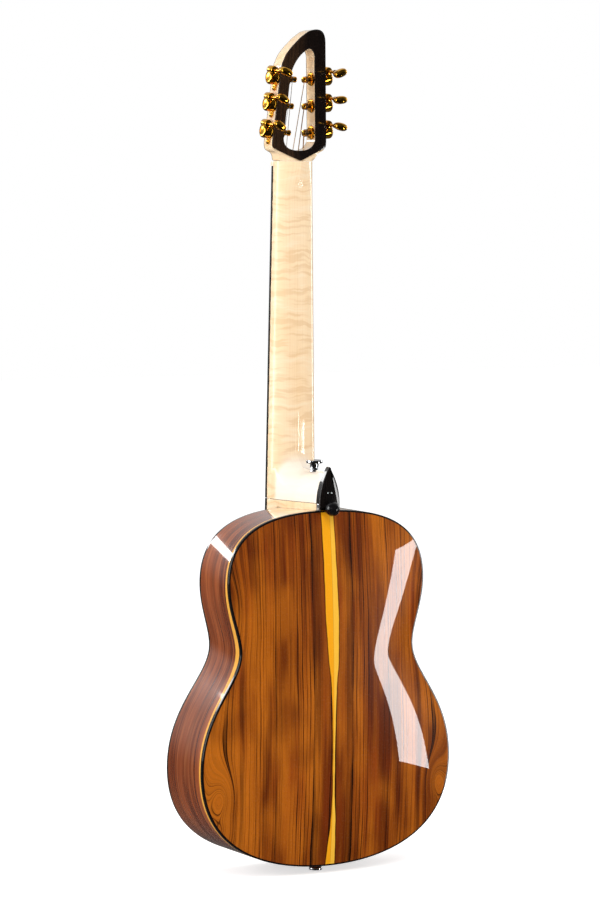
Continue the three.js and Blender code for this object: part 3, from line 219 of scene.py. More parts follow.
outline_half = even(half_outline(), outline_count)
outline_run = np.linspace(0, np.linalg.norm(np.diff(outline_half, axis=0), axis=1).sum(), outline_count)
outline_way = np.gradient(outline_half, axis=0)
outline_way[0], outline_way[-1] = (1, 0), (-1, 0)
outline_inward = np.stack([outline_way[:, 1], -outline_way[:, 0]], axis=1)
outline_inward /= np.linalg.norm(outline_inward, axis=1)[:, None]


def outline_at(run, inset=0.0):
    """Points of the treble outline by the way run along it from the top, moved in by inset."""
    run, inset = np.broadcast_arrays(run, inset)
    point = [np.interp(run, outline_run, outline_half[:, k]) for k in (0, 1)]
    inward = [np.interp(run, outline_run, outline_inward[:, k]) for k in (0, 1)]
    return point[0] + inset * inward[0], point[1] + inset * inward[1]


def outline_loop(inset, count=520):
    """The whole outline as a closed loop of count points, moved in by inset."""
    run = np.linspace(0, 2 * outline_run[-1], count, endpoint=False)
    bass = run > outline_run[-1]
    x, z = outline_at(np.where(bass, 2 * outline_run[-1] - run, run), inset)
    return np.stack([np.where(bass, -x, x), z], axis=1)


def body_share(z):
    """A height as a share of the body's length: 0 at the tail and 1 at the top."""
    return (z - body_bottom) / body_length


def soundboard_face(z):
    """How far back the soundboard's front lies: straight from the tail to the top."""
    return soundboard_at_tail + (soundboard_at_top - soundboard_at_tail) * body_share(z)


def surface(name, grids, material, body, nodes=(), closed=False, capped=True, crease=32, uvs=None):
    """A piece from grids of points in millimetres, rings by points. Each grid is one skin: the ends of each
    ring are joined, closed joins the last ring to the first, and otherwise capped fills the end rings."""
    build = bmesh.new()
    if uvs:
        build.loops.layers.uv.new("drawn")
    for g, grid in enumerate(grids if isinstance(grids, list) else [grids]):
        rings, count = grid.shape[:2]
        skin = bpy.data.meshes.new("skin")
        i, j = np.meshgrid(np.arange(rings if closed else rings - 1), np.arange(count), indexing="ij")
        i, j = i.ravel(), j.ravel()
        corners = [(i, j), (i + 1, j), (i + 1, j + 1), (i, j + 1)]
        quads = np.stack([(a % rings) * count + b % count for a, b in corners], axis=1)
        faces = quads.tolist()
        if capped and not closed:
            faces += [list(range(count)), list(range((rings - 1) * count, rings * count))]
        skin.from_pydata((grid.reshape(-1, 3) * 0.001).tolist(), [], faces)
        if uvs:
            drawn = skin.uv_layers.new(name="drawn")
            flat = uvs[g]
            last = np.array(flat.shape[:2]) - 1
            places = [flat[np.minimum(a, last[0]), np.minimum(b, last[1])] for a, b in corners]
            loops = np.stack(places, axis=1)
            every = np.zeros((len(skin.loops), 2))
            every[:loops.shape[0] * 4] = loops.reshape(-1, 2)
            drawn.data.foreach_set("uv", every.ravel())
        part = bmesh.new()
        part.from_mesh(skin)
        bmesh.ops.remove_doubles(part, verts=part.verts, dist=1e-7)
        bmesh.ops.dissolve_degenerate(part, edges=part.edges, dist=1e-7)
        bmesh.ops.recalc_face_normals(part, faces=part.faces)
        part.to_mesh(skin)
        part.free()
        build.from_mesh(skin)
        bpy.data.meshes.remove(skin)
    mesh = bpy.data.meshes.new(name)
    build.to_mesh(mesh)
    build.free()
    mesh.shade_smooth()
    mesh.set_sharp_from_angle(angle=radians(crease))
    mesh.materials.append(material)
    piece = bpy.data.objects.new(name, mesh)
    bpy.context.collection.objects.link(piece)
    if body:
        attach(piece, body)
    if nodes:
        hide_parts(*nodes)
    return piece


def new_group(name, inputs, outputs):
    """A shader node group with number inputs (name: usual value) and outputs, and its two end nodes."""
    group = bpy.data.node_groups.new(name, "ShaderNodeTree")
    for label, value in inputs.items():
        socket = group.interface.new_socket(label, in_out="INPUT", socket_type="NodeSocketFloat")
        socket.default_value = value
    for label in outputs:
        group.interface.new_socket(label, in_out="OUTPUT", socket_type="NodeSocketFloat")
    return group, group.nodes.new("NodeGroupInput").outputs, group.nodes.new("NodeGroupOutput").inputs


def noise(tree, vector, scale, detail=2.0, roughness=0.5):
    """Soft random clouds between 0 and 1."""
    return add_node(tree, "ShaderNodeTexNoise", {
        "Vector": vector, "Scale": scale, "Detail": detail, "Roughness": roughness,
    }).outputs["Fac"]


def vector_of(tree, *parts):
    """Three parts as one vector. A part is a number, a socket, or a socket and what it is multiplied by."""
    parts = [times(tree, *part) if isinstance(part, tuple) else part for part in parts]
    return add_node(tree, "ShaderNodeCombineXYZ", dict(enumerate(parts))).outputs[0]


def cloud_of(tree, *parts, detail=2.0, roughness=0.5):
    """Noise at a vector of three parts."""
    return noise(tree, vector_of(tree, *parts), 1.0, detail, roughness)


# Growth rings cut along the trunk: a run of lines across the wood, each darkening slowly and ending sharply,
# of uneven weight, that waver and fade along it. Across and Along are in millimetres
growth_rings, given, out = new_group("growth rings",
                                     {"Across": 0, "Along": 0, "Spacing": 4, "Waver": 1, "Sharpness": 0.9},
                                     ["Rings", "Weight"])
tree = growth_rings
slow = vector_of(tree, (given["Across"], 0.02), (given["Along"], 0.006), 0.0)
waver = times(tree, minus(tree, noise(tree, slow, 1.0, 3.0, 0.55), 0.5), given["Waver"])
bent = plus(tree, given["Across"], times(tree, waver, 16.0))
uneven = add_node(tree, "ShaderNodeTexNoise", {"W": bent, "Scale": 0.09, "Detail": 1.0},
                  noise_dimensions="1D").outputs["Fac"]
count = plus(tree, over(tree, bent, given["Spacing"]), times(tree, uneven, 5.0))
part = maths(tree, "FRACT", count)
rank = add_node(tree, "ShaderNodeTexWhiteNoise", {"W": maths(tree, "FLOOR", count)},
                noise_dimensions="1D").outputs["Value"]
rise = maths(tree, "POWER", maths(tree, "DIVIDE", part, given["Sharpness"], clamp=True), 4.0)
drop = steps(tree, part, given["Sharpness"], 1.0, 1.0, 0.0)
tree.links.new(times(tree, rise, drop), out["Rings"])
fading = cloud_of(tree, (given["Across"], 0.2), (given["Along"], 0.012), 3.0)
weight = times(tree, plus(tree, times(tree, rank, 0.8), 0.2), steps(tree, fading, 0.3, 0.62, 0.35, 1.0))
tree.links.new(weight, out["Weight"])

# Pores: short fine streaks along the wood
pores, given, out = new_group("pores", {"Across": 0, "Along": 0, "Length": 12, "Amount": 0.5}, ["Pores"])
tree = pores
streak = vector_of(tree, (given["Across"], 2.4), over(tree, given["Along"], given["Length"]), 0.0)
threshold = minus(tree, 0.78, times(tree, given["Amount"], 0.3))
tree.links.new(steps(tree, noise(tree, streak, 1.0, 1.0), threshold, plus(tree, threshold, 0.12)),
               out["Pores"])

# Polish: a lacquer's slight unevenness, as a height in the surface and as a change of roughness
polish, given, out = new_group("polish", {"X": 0, "Y": 0, "Z": 0, "Wave": 40, "Dust": 0.02, "Base": 0.05},
                               ["Height", "Roughness"])
tree = polish
place = vector_of(tree, given["X"], given["Y"], given["Z"])
swell = noise(tree, place, over(tree, 1.0, given["Wave"]), 1.0)
fine = noise(tree, place, 0.5, 2.0)
tree.links.new(swell, out["Height"])
tree.links.new(plus(tree, given["Base"], times(tree, fine, given["Dust"])), out["Roughness"])


def use_group(tree, group, **inputs):
    """The outputs of a group's node with these inputs."""
    return add_node(tree, "ShaderNodeGroup", inputs, node_tree=group).outputs


def blend_colour(tree, share, first, second):
    """first where share is 0 and second where it is 1. Each is a colour of 0 to 255 or a socket."""
    pair = [value if isinstance(value, bpy.types.NodeSocket) else colour(*value) for value in (first, second)]
    return add_node(tree, "ShaderNodeMix", {0: share, 6: pair[0], 7: pair[1]}, data_type="RGBA").outputs[2]


def finish_of(name, roughness=0.3, **sockets):
    """A material with one Principled shader, and its object's millimetres along X, Y and Z."""
    made = bpy.data.materials.new(name)
    made.use_nodes = True
    tree = made.node_tree
    shader = tree.nodes["Principled BSDF"]
    shader.inputs["Roughness"].default_value = roughness
    for label, value in sockets.items():
        shader.inputs[label.replace("_", " ")].default_value = value
    if "Coat_Weight" in sockets:
        # Lacquered: the coat carries the gloss
        shader.inputs["Specular IOR Level"].default_value = under_coat_gloss
    place = add_node(tree, "ShaderNodeTexCoord").outputs["Object"]
    parts = add_node(tree, "ShaderNodeSeparateXYZ", {0: place})
    return made, tree, shader, [times(tree, parts.outputs[k], 1000.0) for k in range(3)]


def dress(tree, shader, base, place, wave=40.0, dust=0.04, even_roughness=0.06, depth=0.02, height=None):
    """Puts the colour, and the polish's roughness and relief, on the shader."""
    tree.links.new(base, shader.inputs["Base Color"])
    worn = use_group(tree, polish, X=place[0], Y=place[1], Z=place[2], Wave=wave, Dust=dust,
                     Base=even_roughness)
    tree.links.new(worn["Roughness"], shader.inputs["Roughness"])
    relief = worn["Height"] if height is None else plus(tree, worn["Height"], height)
    bump = add_node(tree, "ShaderNodeBump", {"Height": relief, "Strength": 1.0, "Distance": depth * 0.001})
    tree.links.new(bump.outputs[0], shader.inputs["Normal"])


def spruce_finish():
    """Quarter-sawn spruce: pale, with close straight rings that widen from the middle to the edges."""
    made, tree, shader, (x, y, z) = finish_of("spruce", Coat_Weight=0.6, Coat_Roughness=0.05)
    across = maths(tree, "ABSOLUTE", x)
    rings = use_group(tree, growth_rings, Across=across, Along=z, Spacing=1.5, Waver=0.15, Sharpness=0.8)
    silk = cloud_of(tree, (x, 0.05), 0.0, (z, 0.4))
    base = blend_colour(tree, times(tree, rings["Rings"], rings["Weight"]), spruce_pale, spruce_deep)
    base = blend_colour(tree, steps(tree, silk, 0.35, 0.7, 0.0, 0.25), base, (247, 219, 170))
    seam = steps(tree, across, 0.0, 0.35, 0.5, 0.0)
    dress(tree, shader, blend_colour(tree, seam, base, (150, 104, 58)), (x, y, z), even_roughness=0.2)
    return made


def hole_loop(radius, loop):
    """A circle round the sound hole's middle, with a point in line with each point of loop."""
    angle = np.arctan2(loop[:, 1] - sound_hole_height, loop[:, 0])
    return np.stack([radius * np.cos(angle), sound_hole_height + radius * np.sin(angle)], axis=1)


def at_depth(flat, y):
    """Points (x, z) of a plan, set at the depth y."""
    return np.stack([flat[:, 0], np.broadcast_to(y, len(flat)), flat[:, 1]], axis=1)


def on_soundboard(flat, depth):
    """Points of the plan, depth behind the soundboard's face."""
    return at_depth(flat, soundboard_face(flat[:, 1]) + depth)


spruce = spruce_finish()
plan = outline_loop(binding_width)
plates = [hole_loop(sound_hole_radius + arris, plan) * (1 - t) + plan * t for t in np.linspace(0, 1, 9)]
hole = hole_loop(sound_hole_radius, plan)
sections = [(hole, soundboard_thickness - arris), (hole, arris)]
sections += [(plate, 0) for plate in plates] + [(plate, soundboard_thickness) for plate in plates[::-1]]
grid = np.stack([on_soundboard(flat, depth) for flat, depth in sections])
surface("soundboard", grid, spruce, "sound_box", ["soundboard"], closed=True)


# Rosette: a ring of dark and pearl strips, let into the soundboard round the hole and scraped flush.
# The photo doesn't show the front, so it is a plain one.
rosette_inner, rosette_outer, rosette_depth = 49.0, 56.0, 1.2
rosette_proud = 0.06
rosette_bands = ((0.0, (24, 18, 14)), (0.08, (222, 196, 150)), (0.16, (24, 18, 14)), (0.24, (214, 220, 214)),
                 (0.76, (24, 18, 14)), (0.84, (222, 196, 150)), (0.92, (24, 18, 14)))

rosette_paint, tree, shader, (x, y, z) = finish_of("rosette strips", Coat_Weight=0.6, Coat_Roughness=0.05)
up = minus(tree, z, sound_hole_height)
away = maths(tree, "SQRT", plus(tree, times(tree, x, x), times(tree, up, up)))
share = over(tree, minus(tree, away, rosette_inner), rosette_outer - rosette_inner)
ramp = add_node(tree, "ShaderNodeValToRGB", {0: share})
ramp.color_ramp.interpolation = "CONSTANT"
for k, (start, shade) in enumerate(rosette_bands):
    stop = ramp.color_ramp.elements[0] if k == 0 else ramp.color_ramp.elements.new(start)
    stop.position, stop.color = start, colour(*shade)
ramp.color_ramp.elements.remove(ramp.color_ramp.elements[-1])
clouded = noise(tree, vector_of(tree, x, y, z), 0.35, 3.0)
tinted = blend_colour(tree, steps(tree, clouded, 0.35, 0.7, 0.0, 0.25), ramp.outputs[0], (120, 150, 160))
dress(tree, shader, tinted, (x, y, z))


def flat_ring(inner, outer, front, back, count=160):
    """A ring in the soundboard's plane about the sound hole: a four-sided section carried round a circle."""
    angle = np.linspace(0, 2 * pi, count, endpoint=False)
    circle = np.stack([np.cos(angle), np.sin(angle)], axis=1)
    middle = np.array([0, sound_hole_height])
    return np.stack([on_soundboard(middle + circle * radius, depth)
                     for radius, depth in ((inner, back), (inner, front), (outer, front), (outer, back))])


ring = flat_ring(rosette_inner, rosette_outer, -rosette_proud, rosette_depth)
surface("rosette", ring, rosette_paint, "sound_box", ["rosette"], closed=True)


# Ribs: two strips of the same wood as the back, 2.2 mm thick, bent to the outline over a hot iron and glued
# to linings inside. A strip of orange sapwood runs along the back edge. They start at the neck block.
body_depth_at_tail, body_depth_at_top, back_dish = 90.1, 61.8, 1.3
binding_height, rib_thickness, lining_thickness, lining_height = 4.0, 2.2, 5.0, 13.0
block_half_front, block_half_back = 43.0, 62.0
block_seam = 0.25
rib_mid, rib_dark, rib_line, rib_light = (150, 76, 38), (104, 44, 16), (52, 20, 8), (184, 106, 58)
rib_sapwood = (236, 170, 66)
sapwood_height, sapwood_swell, waist_run, waist_reach = 7.2, 4.2, 232.0, 95.0


def back_edge(z):
    """How far back the back's edge lies: the body's tapering depth behind the soundboard, and a slight
    dish."""
    share = body_share(z)
    depth = body_depth_at_tail + (body_depth_at_top - body_depth_at_tail) * share
    return soundboard_face(z) + depth + back_dish * 4 * share * (1 - share)


def rib_finish():
    """Reddish brown wood whose rings run along the rib. The drawing's first number runs along, its second
    down from the back edge, both in metres."""
    made, tree, shader, place = finish_of("rib wood", Coat_Weight=1.0, Coat_Roughness=0.025)
    flat = add_node(tree, "ShaderNodeSeparateXYZ",
                    {0: add_node(tree, "ShaderNodeUVMap", uv_map="drawn").outputs[0]})
    along, drop = (times(tree, flat.outputs[k], 1000.0) for k in (0, 1))
    broad = cloud_of(tree, (drop, 0.07), (along, 0.004), 1.0, detail=3.0)
    tilt = times(tree, minus(tree, broad, 0.5), 14.0)
    leaning = plus(tree, drop, tilt)
    rings = use_group(tree, growth_rings, Across=leaning, Along=along, Spacing=3.1, Waver=0.35,
                      Sharpness=0.86)
    close = use_group(tree, growth_rings, Across=leaning, Along=along, Spacing=1.05, Waver=0.3,
                      Sharpness=0.75)
    base = blend_colour(tree, steps(tree, broad, 0.34, 0.66), rib_dark, rib_mid)
    tone = cloud_of(tree, (drop, 0.3), (along, 0.01), 7.0)
    base = blend_colour(tree, steps(tree, tone, 0.45, 0.75, 0.0, 0.6), base, rib_light)
    base = blend_colour(tree, times(tree, close["Rings"], close["Weight"], 0.4), base, rib_line)
    base = blend_colour(tree, times(tree, rings["Rings"], rings["Weight"], 0.85), base, rib_line)
    speck = use_group(tree, pores, Across=drop, Along=along, Length=9.0, Amount=0.45)["Pores"]
    base = blend_colour(tree, times(tree, speck, 0.45), base, rib_line)
    from_waist = maths(tree, "ABSOLUTE", minus(tree, along, waist_run))
    waist = steps(tree, from_waist, 0.0, waist_reach, sapwood_swell, 0.0)
    ragged = times(tree, minus(tree, tone, 0.5), 2.0)
    edge = plus(tree, waist, sapwood_height, ragged)
    base = blend_colour(tree, steps(tree, minus(tree, drop, edge), -0.4, 0.5, 1.0, 0.0), base, rib_sapwood)
    dress(tree, shader, base, place, wave=55.0, even_roughness=0.22, depth=0.12)
    return made


def rib_grid(side):
    """A rib's section, its wall and two linings, carried along the outline from the neck block to the tail.
    Each point of the section starts where the slanting edge of the block meets it."""
    low, seat = binding_height + 0.05, soundboard_thickness
    lined = rib_thickness + lining_thickness
    front_half = [(0.0, low), (binding_width, low), (binding_width, seat), (lined, seat),
                  (lined, seat + lining_height), (rib_thickness, seat + lining_height + lining_thickness)]
    wall = [(inset, depth, 0) for inset, depth in front_half]
    wall += [(inset, -depth, 1) for inset, depth in front_half[::-1]]
    inset, depth, from_back = np.array(wall).T
    share = (from_back * body_depth_at_top + depth - low) / (body_depth_at_top - 2 * low)
    half = block_half_front + (block_half_back - block_half_front) * share + 2 * block_seam + inset / 8
    start = np.interp(half, outline_half[:top_count, 0], outline_run[:top_count])
    way = np.linspace(0, 1, 300)[:, None]
    run = start * (1 - way) + outline_run[-1] * way
    x, z = outline_at(run, inset)
    y = np.where(from_back > 0, back_edge(z), soundboard_face(z)) + depth
    grid = np.stack([side * np.maximum(x, 0.05), y, z], axis=2)
    drawn = np.stack([run, back_edge(z) - y], axis=2) * 0.001
    return grid, np.concatenate([drawn, drawn[:, :1]], axis=1)


rib_wood = rib_finish()
for side, name in ((1, "rib_treble"), (-1, "rib_bass")):
    grid, drawn = rib_grid(side)
    piece = surface(name, grid, rib_wood, "sound_box", [name], uvs=[drawn])


# Neck block: a maple block between the ribs at the top of the body. Its face comes out flush with the ribs,
# and its slanting sides show as a seam on each side.
block_height = 32.0
maple_cream, maple_warm = (253, 226, 188), (247, 210, 162)
# The last colour is painted light: the paler tone of the heel's side that faces the lamps
maple_line, maple_flash, heel_painted_light = (222, 174, 120), (255, 240, 216), (255, 248, 238)
# Heights between which the painted light on the heel's lit side begins and ends, and depths between which it
# grows
painted_light_from, painted_light_to, painted_light_behind = (400.6, 401.0), (432.0, 458.0), (-50.5, -43.5)


def maple_finish():
    """Cream maple with its grain up the neck and faint flames across it, under gloss lacquer, and painted
    light that makes the heel's lit side paler.
    """
    made, tree, shader, (x, y, z) = finish_of("flamed maple", Coat_Weight=1.0, Coat_Roughness=0.025)
    leaning = plus(tree, x, times(tree, y, 0.6))
    rings = use_group(tree, growth_rings, Across=leaning, Along=z, Spacing=2.6, Waver=0.3, Sharpness=0.7)
    broad = cloud_of(tree, (leaning, 0.05), 0.0, (z, 0.008), detail=2.0)
    sway = times(tree, cloud_of(tree, (x, 0.05), (y, 0.05), (z, 0.02)), 26.0)
    climb = plus(tree, times(tree, z, 0.24), times(tree, sway, 0.1))
    bars = cloud_of(tree, (x, 0.03), (y, 0.03), climb, detail=1.5)
    base = blend_colour(tree, steps(tree, broad, 0.3, 0.7, 0.0, 0.55), maple_cream, maple_warm)
    base = blend_colour(tree, times(tree, rings["Rings"], rings["Weight"], 0.28), base, maple_line)
    base = blend_colour(tree, steps(tree, bars, 0.5, 0.66, 0.0, 0.34), base, maple_line)
    base = blend_colour(tree, steps(tree, bars, 0.3, 0.45, 0.3, 0.0), base, maple_flash)
    speck = use_group(tree, pores, Across=leaning, Along=z, Length=5.0, Amount=0.3)["Pores"]
    base = blend_colour(tree, times(tree, speck, 0.22), base, maple_line)
    # Painted light: the heel's side that faces the lamps is painted paler, over a band of heights and depths
    heel = times(tree, steps(tree, z, *painted_light_from, 0.0, 1.0), steps(tree, z, *painted_light_to, 1.0, 0.0))
    heel = times(tree, heel, steps(tree, y, *painted_light_behind, 0.0, 0.75))
    base = blend_colour(tree, heel, base, heel_painted_light)
    dress(tree, shader, base, (x, y, z), wave=45.0, even_roughness=0.2, depth=0.06)
    return made


def block_grid():
    """Rings from the front to the back of the block: the outline between its two edges, and a straight
    inner side."""
    share = np.linspace(0, 1, 9)[:, None]
    half = block_half_front + (block_half_back - block_half_front) * share
    end = np.interp(half, outline_half[:top_count, 0], outline_run[:top_count])
    run = end * np.linspace(0, 1, 41)[None, :]
    x, z = outline_at(run)
    foot_x, foot_z = outline_at(end, block_height)
    half_x, half_z = np.concatenate([x, foot_x], axis=1), np.concatenate([z, foot_z], axis=1)
    ring_x = np.concatenate([half_x, -half_x[:, :0:-1]], axis=1)
    ring_z = np.concatenate([half_z, half_z[:, :0:-1]], axis=1)
    front, back = soundboard_face(ring_z) + binding_height, back_edge(ring_z) - binding_height
    return np.stack([ring_x, front * (1 - share) + back * share, ring_z], axis=2)


maple = maple_finish()
surface("neck_block", block_grid(), maple, "sound_box", ["neck_block"])


# Back: two bookmatched plates joined on the centre line, arched 8 mm and 2.6 mm thick, with the trunk's pale
# sapwood left along the joint. High gloss lacquer over a rosewood-like brown with dark growth lines.
back_thickness, back_arch, back_arch_power, waist_fade = 2.6, 8.0, 2.4, 50.0
back_centre = np.array([0.0, 200.9])
back_mid, back_dark, back_orange, back_line = (158, 78, 13), (100, 40, 6), (200, 110, 22), (36, 14, 3)
back_red = (146, 58, 12)
sapwood_left_colour, sapwood_right_colour = (250, 170, 20), (252, 194, 62)
# Half width of the sapwood to the left and right of the joint, in millimetres, by height
glue_line, curve_height = -2.6, 400.0
sapwood_left = ((8, 6.2), (37, 3.6), (58, 1.6), (80, 0.6), (120, 0.7), (168, 1.4), (200, 2.6), (249, 7.2),
                (298, 9.2), (341, 9.6), (393, 10.6))
sapwood_right = ((8, 5.4), (37, 4.9), (58, 4.4), (80, 2.6), (120, 1.6), (168, 2.4), (200, 3.6), (249, 6.6),
                 (298, 6.4), (341, 5.4), (393, 4.6))
# Knots: the growth lines close round these places. Way out from the joint, height, push, reach out and up
knots = ((133, 90, 22, 13, 24), (131, 55, 14, 10, 15), (118, 285, 15, 16, 46), (150, 150, -14, 22, 60))


def height_curve(tree, z, pairs, top):
    """A smooth curve through (height, value) pairs, with values up to top, read at z."""
    drawn = add_node(tree, "ShaderNodeFloatCurve", {"Value": over(tree, z, curve_height)})
    points = drawn.mapping.curves[0].points
    for k, (height, value) in enumerate(pairs):
        place = (height / curve_height, value / top)
        if k < 2:
            points[k].location = place
        else:
            points.new(*place)
    drawn.mapping.update()
    return times(tree, drawn.outputs[0], top)


def back_finish():
    """Bookmatched: the wood's place across is its way out from the joint, so both halves mirror each
    other."""
    made, tree, shader, (x, y, z) = finish_of("back wood", Coat_Weight=1.0, Coat_Roughness=0.012)
    offset = minus(tree, x, glue_line)
    out = maths(tree, "ABSOLUTE", offset)
    across = out
    for way_out, height, push, reach, rise in knots:
        dx = over(tree, minus(tree, out, way_out), reach)
        dz = over(tree, minus(tree, z, height), rise)
        far = plus(tree, times(tree, dx, dx), times(tree, dz, dz))
        bump = maths(tree, "EXPONENT", times(tree, far, -1.0))
        across = plus(tree, across, times(tree, bump, push))
    half = times(tree, maths(tree, "GREATER_THAN", offset, 0.0), 40.0)
    broad = cloud_of(tree, (across, 0.035), (z, 0.004), half, detail=3.0, roughness=0.55)
    band = cloud_of(tree, (across, 0.11), (z, 0.0035), 5.0, detail=2.0)
    rings = use_group(tree, growth_rings, Across=across, Along=z, Spacing=5.2, Waver=0.5, Sharpness=0.88)
    close = use_group(tree, growth_rings, Across=across, Along=z, Spacing=1.5, Waver=0.42, Sharpness=0.72)
    base = blend_colour(tree, steps(tree, band, 0.36, 0.64), back_dark, back_mid)
    base = blend_colour(tree, steps(tree, broad, 0.42, 0.7, 0.0, 0.85), base, back_orange)
    red = cloud_of(tree, (across, 0.06), (z, 0.006), 9.0, detail=2.0)
    base = blend_colour(tree, steps(tree, red, 0.5, 0.75, 0.0, 0.6), base, back_red)
    shade = cloud_of(tree, (across, 0.016), (z, 0.009), half, detail=2.0)
    base = blend_colour(tree, steps(tree, shade, 0.48, 0.72, 0.0, 0.6), base, back_orange)
    base = blend_colour(tree, steps(tree, shade, 0.28, 0.46, 0.6, 0.0), base, back_dark)
    calm = steps(tree, broad, 0.6, 0.78, 1.0, 0.45)
    base = blend_colour(tree, times(tree, close["Rings"], close["Weight"], 0.35), base, back_line)
    strong = times(tree, rings["Rings"], rings["Weight"], calm)
    base = blend_colour(tree, maths(tree, "MULTIPLY", strong, 1.5, clamp=True), base, back_line)
    speck = use_group(tree, pores, Across=across, Along=z, Length=7.0, Amount=0.5)["Pores"]
    base = blend_colour(tree, times(tree, speck, 0.4), base, back_line)
    ragged = cloud_of(tree, 0.0, 0.0, (z, 0.03), detail=3.0)
    ragged = times(tree, minus(tree, ragged, 0.5), 2.4)
    for curve, side, shade in ((sapwood_left, 1.0, sapwood_left_colour),
                               (sapwood_right, -1.0, sapwood_right_colour)):
        wide = plus(tree, height_curve(tree, z, curve, 12.0), ragged)
        signed = times(tree, offset, side)
        this_side = maths(tree, "GREATER_THAN", signed, 0.0)
        inside = steps(tree, minus(tree, signed, wide), -0.5, 0.3, 1.0, 0.0)
        inside = times(tree, inside, this_side)
        off_border = maths(tree, "ABSOLUTE", minus(tree, signed, plus(tree, wide, 0.7)))
        border = times(tree, steps(tree, off_border, 0.0, 0.8, 0.8, 0.0), this_side)
        base = blend_colour(tree, border, base, back_line)
        lines = use_group(tree, growth_rings, Across=out, Along=z, Spacing=1.3, Waver=0.1, Sharpness=0.7)
        pale = blend_colour(tree, times(tree, lines["Rings"], 0.3), shade, (214, 128, 28))
        base = blend_colour(tree, inside, base, pale)
    seam = steps(tree, out, 0.0, 0.3, 0.55, 0.0)
    base = blend_colour(tree, seam, base, (120, 62, 14))
    dress(tree, shader, base, (x, y, z), wave=60.0, even_roughness=0.25, depth=0.1)
    return made


def soften(loop, length):
    """A closed, evenly spaced loop with its corners rounded: a Gaussian blur of that length along it."""
    spacing = np.linalg.norm(loop - np.roll(loop, 1, axis=0), axis=1).mean()
    waves = np.fft.fftfreq(len(loop), spacing)
    spread = np.exp(-2 * (pi * waves * length) ** 2)[:, None]
    return np.real(np.fft.ifft(np.fft.fft(loop, axis=0) * spread, axis=0))


def back_ring(share, depth, plan, gentle):
    """The plan drawn towards the back's middle to share, lifted by the arch, and depth under the surface.
    On the way in, the plan gives way to a gentle one, whose waist is softer."""
    flat = back_centre + (plan + (gentle - plan) * min(1, 1.5 * (1 - share)) - back_centre) * share
    return at_depth(flat, back_edge(flat[:, 1]) + back_arch * (1 - share ** back_arch_power) - depth)


back_wood = back_finish()
plan = outline_loop(binding_width)
shares = np.linspace(0, 1, 46) ** 0.9
gentle = soften(plan, waist_fade)
rings = [back_ring(s, 0, plan, gentle) for s in shares]
rings += [back_ring(s, back_thickness, plan, gentle) for s in shares[::-1]]
surface("back_plate", np.stack(rings), back_wood, "sound_box", ["back_plate"], capped=False)


# Bindings: black strips, 2 by 4 mm, let into the body's two edges. Their outer corner is scraped round.
# Each is one closed ring round the whole outline, past the neck block too.
binding_round = 1.3
black_deep, black_brown = (13, 11, 11), (46, 33, 24)


def ebony_finish():
    """Near-black wood with fine brown grain, polished."""
    made, tree, shader, (x, y, z) = finish_of("black ebony", Coat_Weight=0.9, Coat_Roughness=0.03)
    leaning = plus(tree, x, times(tree, y, 0.5))
    rings = use_group(tree, growth_rings, Across=leaning, Along=z, Spacing=1.7, Waver=0.25, Sharpness=0.6)
    broad = cloud_of(tree, (x, 0.12), (y, 0.12), (z, 0.012), detail=3.0)
    streaks = times(tree, rings["Rings"], steps(tree, broad, 0.42, 0.68, 0.05, 0.5))
    base = blend_colour(tree, streaks, black_deep, black_brown)
    dress(tree, shader, base, (x, y, z), even_roughness=0.22, depth=0.05)
    return made


def quarter_round(radius, count):
    """An edge rounded by a quarter circle, from its side to its face: (how far in, how far down) of each
    point."""
    return [(radius * (1 - cos(a)), radius * (1 - sin(a))) for a in np.linspace(0, pi / 2, count)]


def binding_grid(face, side):
    """The strip's section carried round the outline. face gives its outer edge, and side is 1 for the back
    and -1 for the front."""
    section = [(binding_width, -binding_height), (0.0, -binding_height)]
    section += [(inset, -down) for inset, down in quarter_round(binding_round, 6)] + [(binding_width, 0.0)]
    plans = [(outline_loop(inset), depth) for inset, depth in section]
    return np.stack([at_depth(flat, face(flat[:, 1]) + side * depth) for flat, depth in plans])


ebony = ebony_finish()
for name, face, side in (("back_binding", back_edge, 1), ("front_binding", soundboard_face, -1)):
    surface(name, binding_grid(face, side), ebony, "sound_box", [name], closed=True)


# Bridge: an ebony block glued to the soundboard, thick in the middle and pared down to its wings, with a bone
# saddle in its slot and six pins that hold the strings' ends
saddle_height, bridge_half_width, bridge_height, bridge_thickness = 114.4, 75.0, 28.0, 9.0
bridge_middle = saddle_height - bridge_height * 0.12
bridge_wing_shares = ((0, 1, 1), (0.48, 1, 1), (0.56, 0.96, 0.78), (0.64, 0.88, 0.48), (0.9, 0.74, 0.38),
                      (0.97, 0.66, 0.36), (1, 0.5, 0.3))
saddle_half_width, saddle_thickness, saddle_crest = 36.0, 3.0, -72.1
saddle_foot, saddle_round, saddle_fall = -61.0, 1.2, 1.4
string_spread_saddle, anchor_drop, pin_radius = 54.0, 9.0, 2.6
bone_pale, bone_warm = (240, 232, 214), (222, 208, 178)


def bone_finish():
    """Cream bone with warmer clouds, polished."""
    made, tree, shader, (x, y, z) = finish_of("bone", Coat_Weight=0.3, Coat_Roughness=0.1)
    cloud = cloud_of(tree, (x, 0.15), (y, 0.4), (z, 0.4), detail=3.0)
    dress(tree, shader, blend_colour(tree, steps(tree, cloud, 0.35, 0.7), bone_pale, bone_warm), (x, y, z),
          even_roughness=0.25)
    return made


def bridge_grid():
    """Across the bridge, a flat-footed oval section whose height and thickness follow the wing shares."""
    across, high, thick = (np.array(column) for column in zip(*bridge_wing_shares))
    share = np.linspace(-1, 1, 91)
    tall = bridge_height * np.interp(np.abs(share), across, high)[:, None]
    rise = bridge_thickness * np.interp(np.abs(share), across, thick)[:, None]
    turn = np.linspace(0, pi, 21)[None, :]
    z = bridge_middle - tall / 2 * np.sign(np.cos(turn)) * np.abs(np.cos(turn)) ** 0.55
    y = soundboard_face(z) + 0.1 - rise * np.sin(turn) ** 0.45
    x = np.broadcast_to(share[:, None] * bridge_half_width, z.shape)
    return np.stack([x, y, z], axis=2)


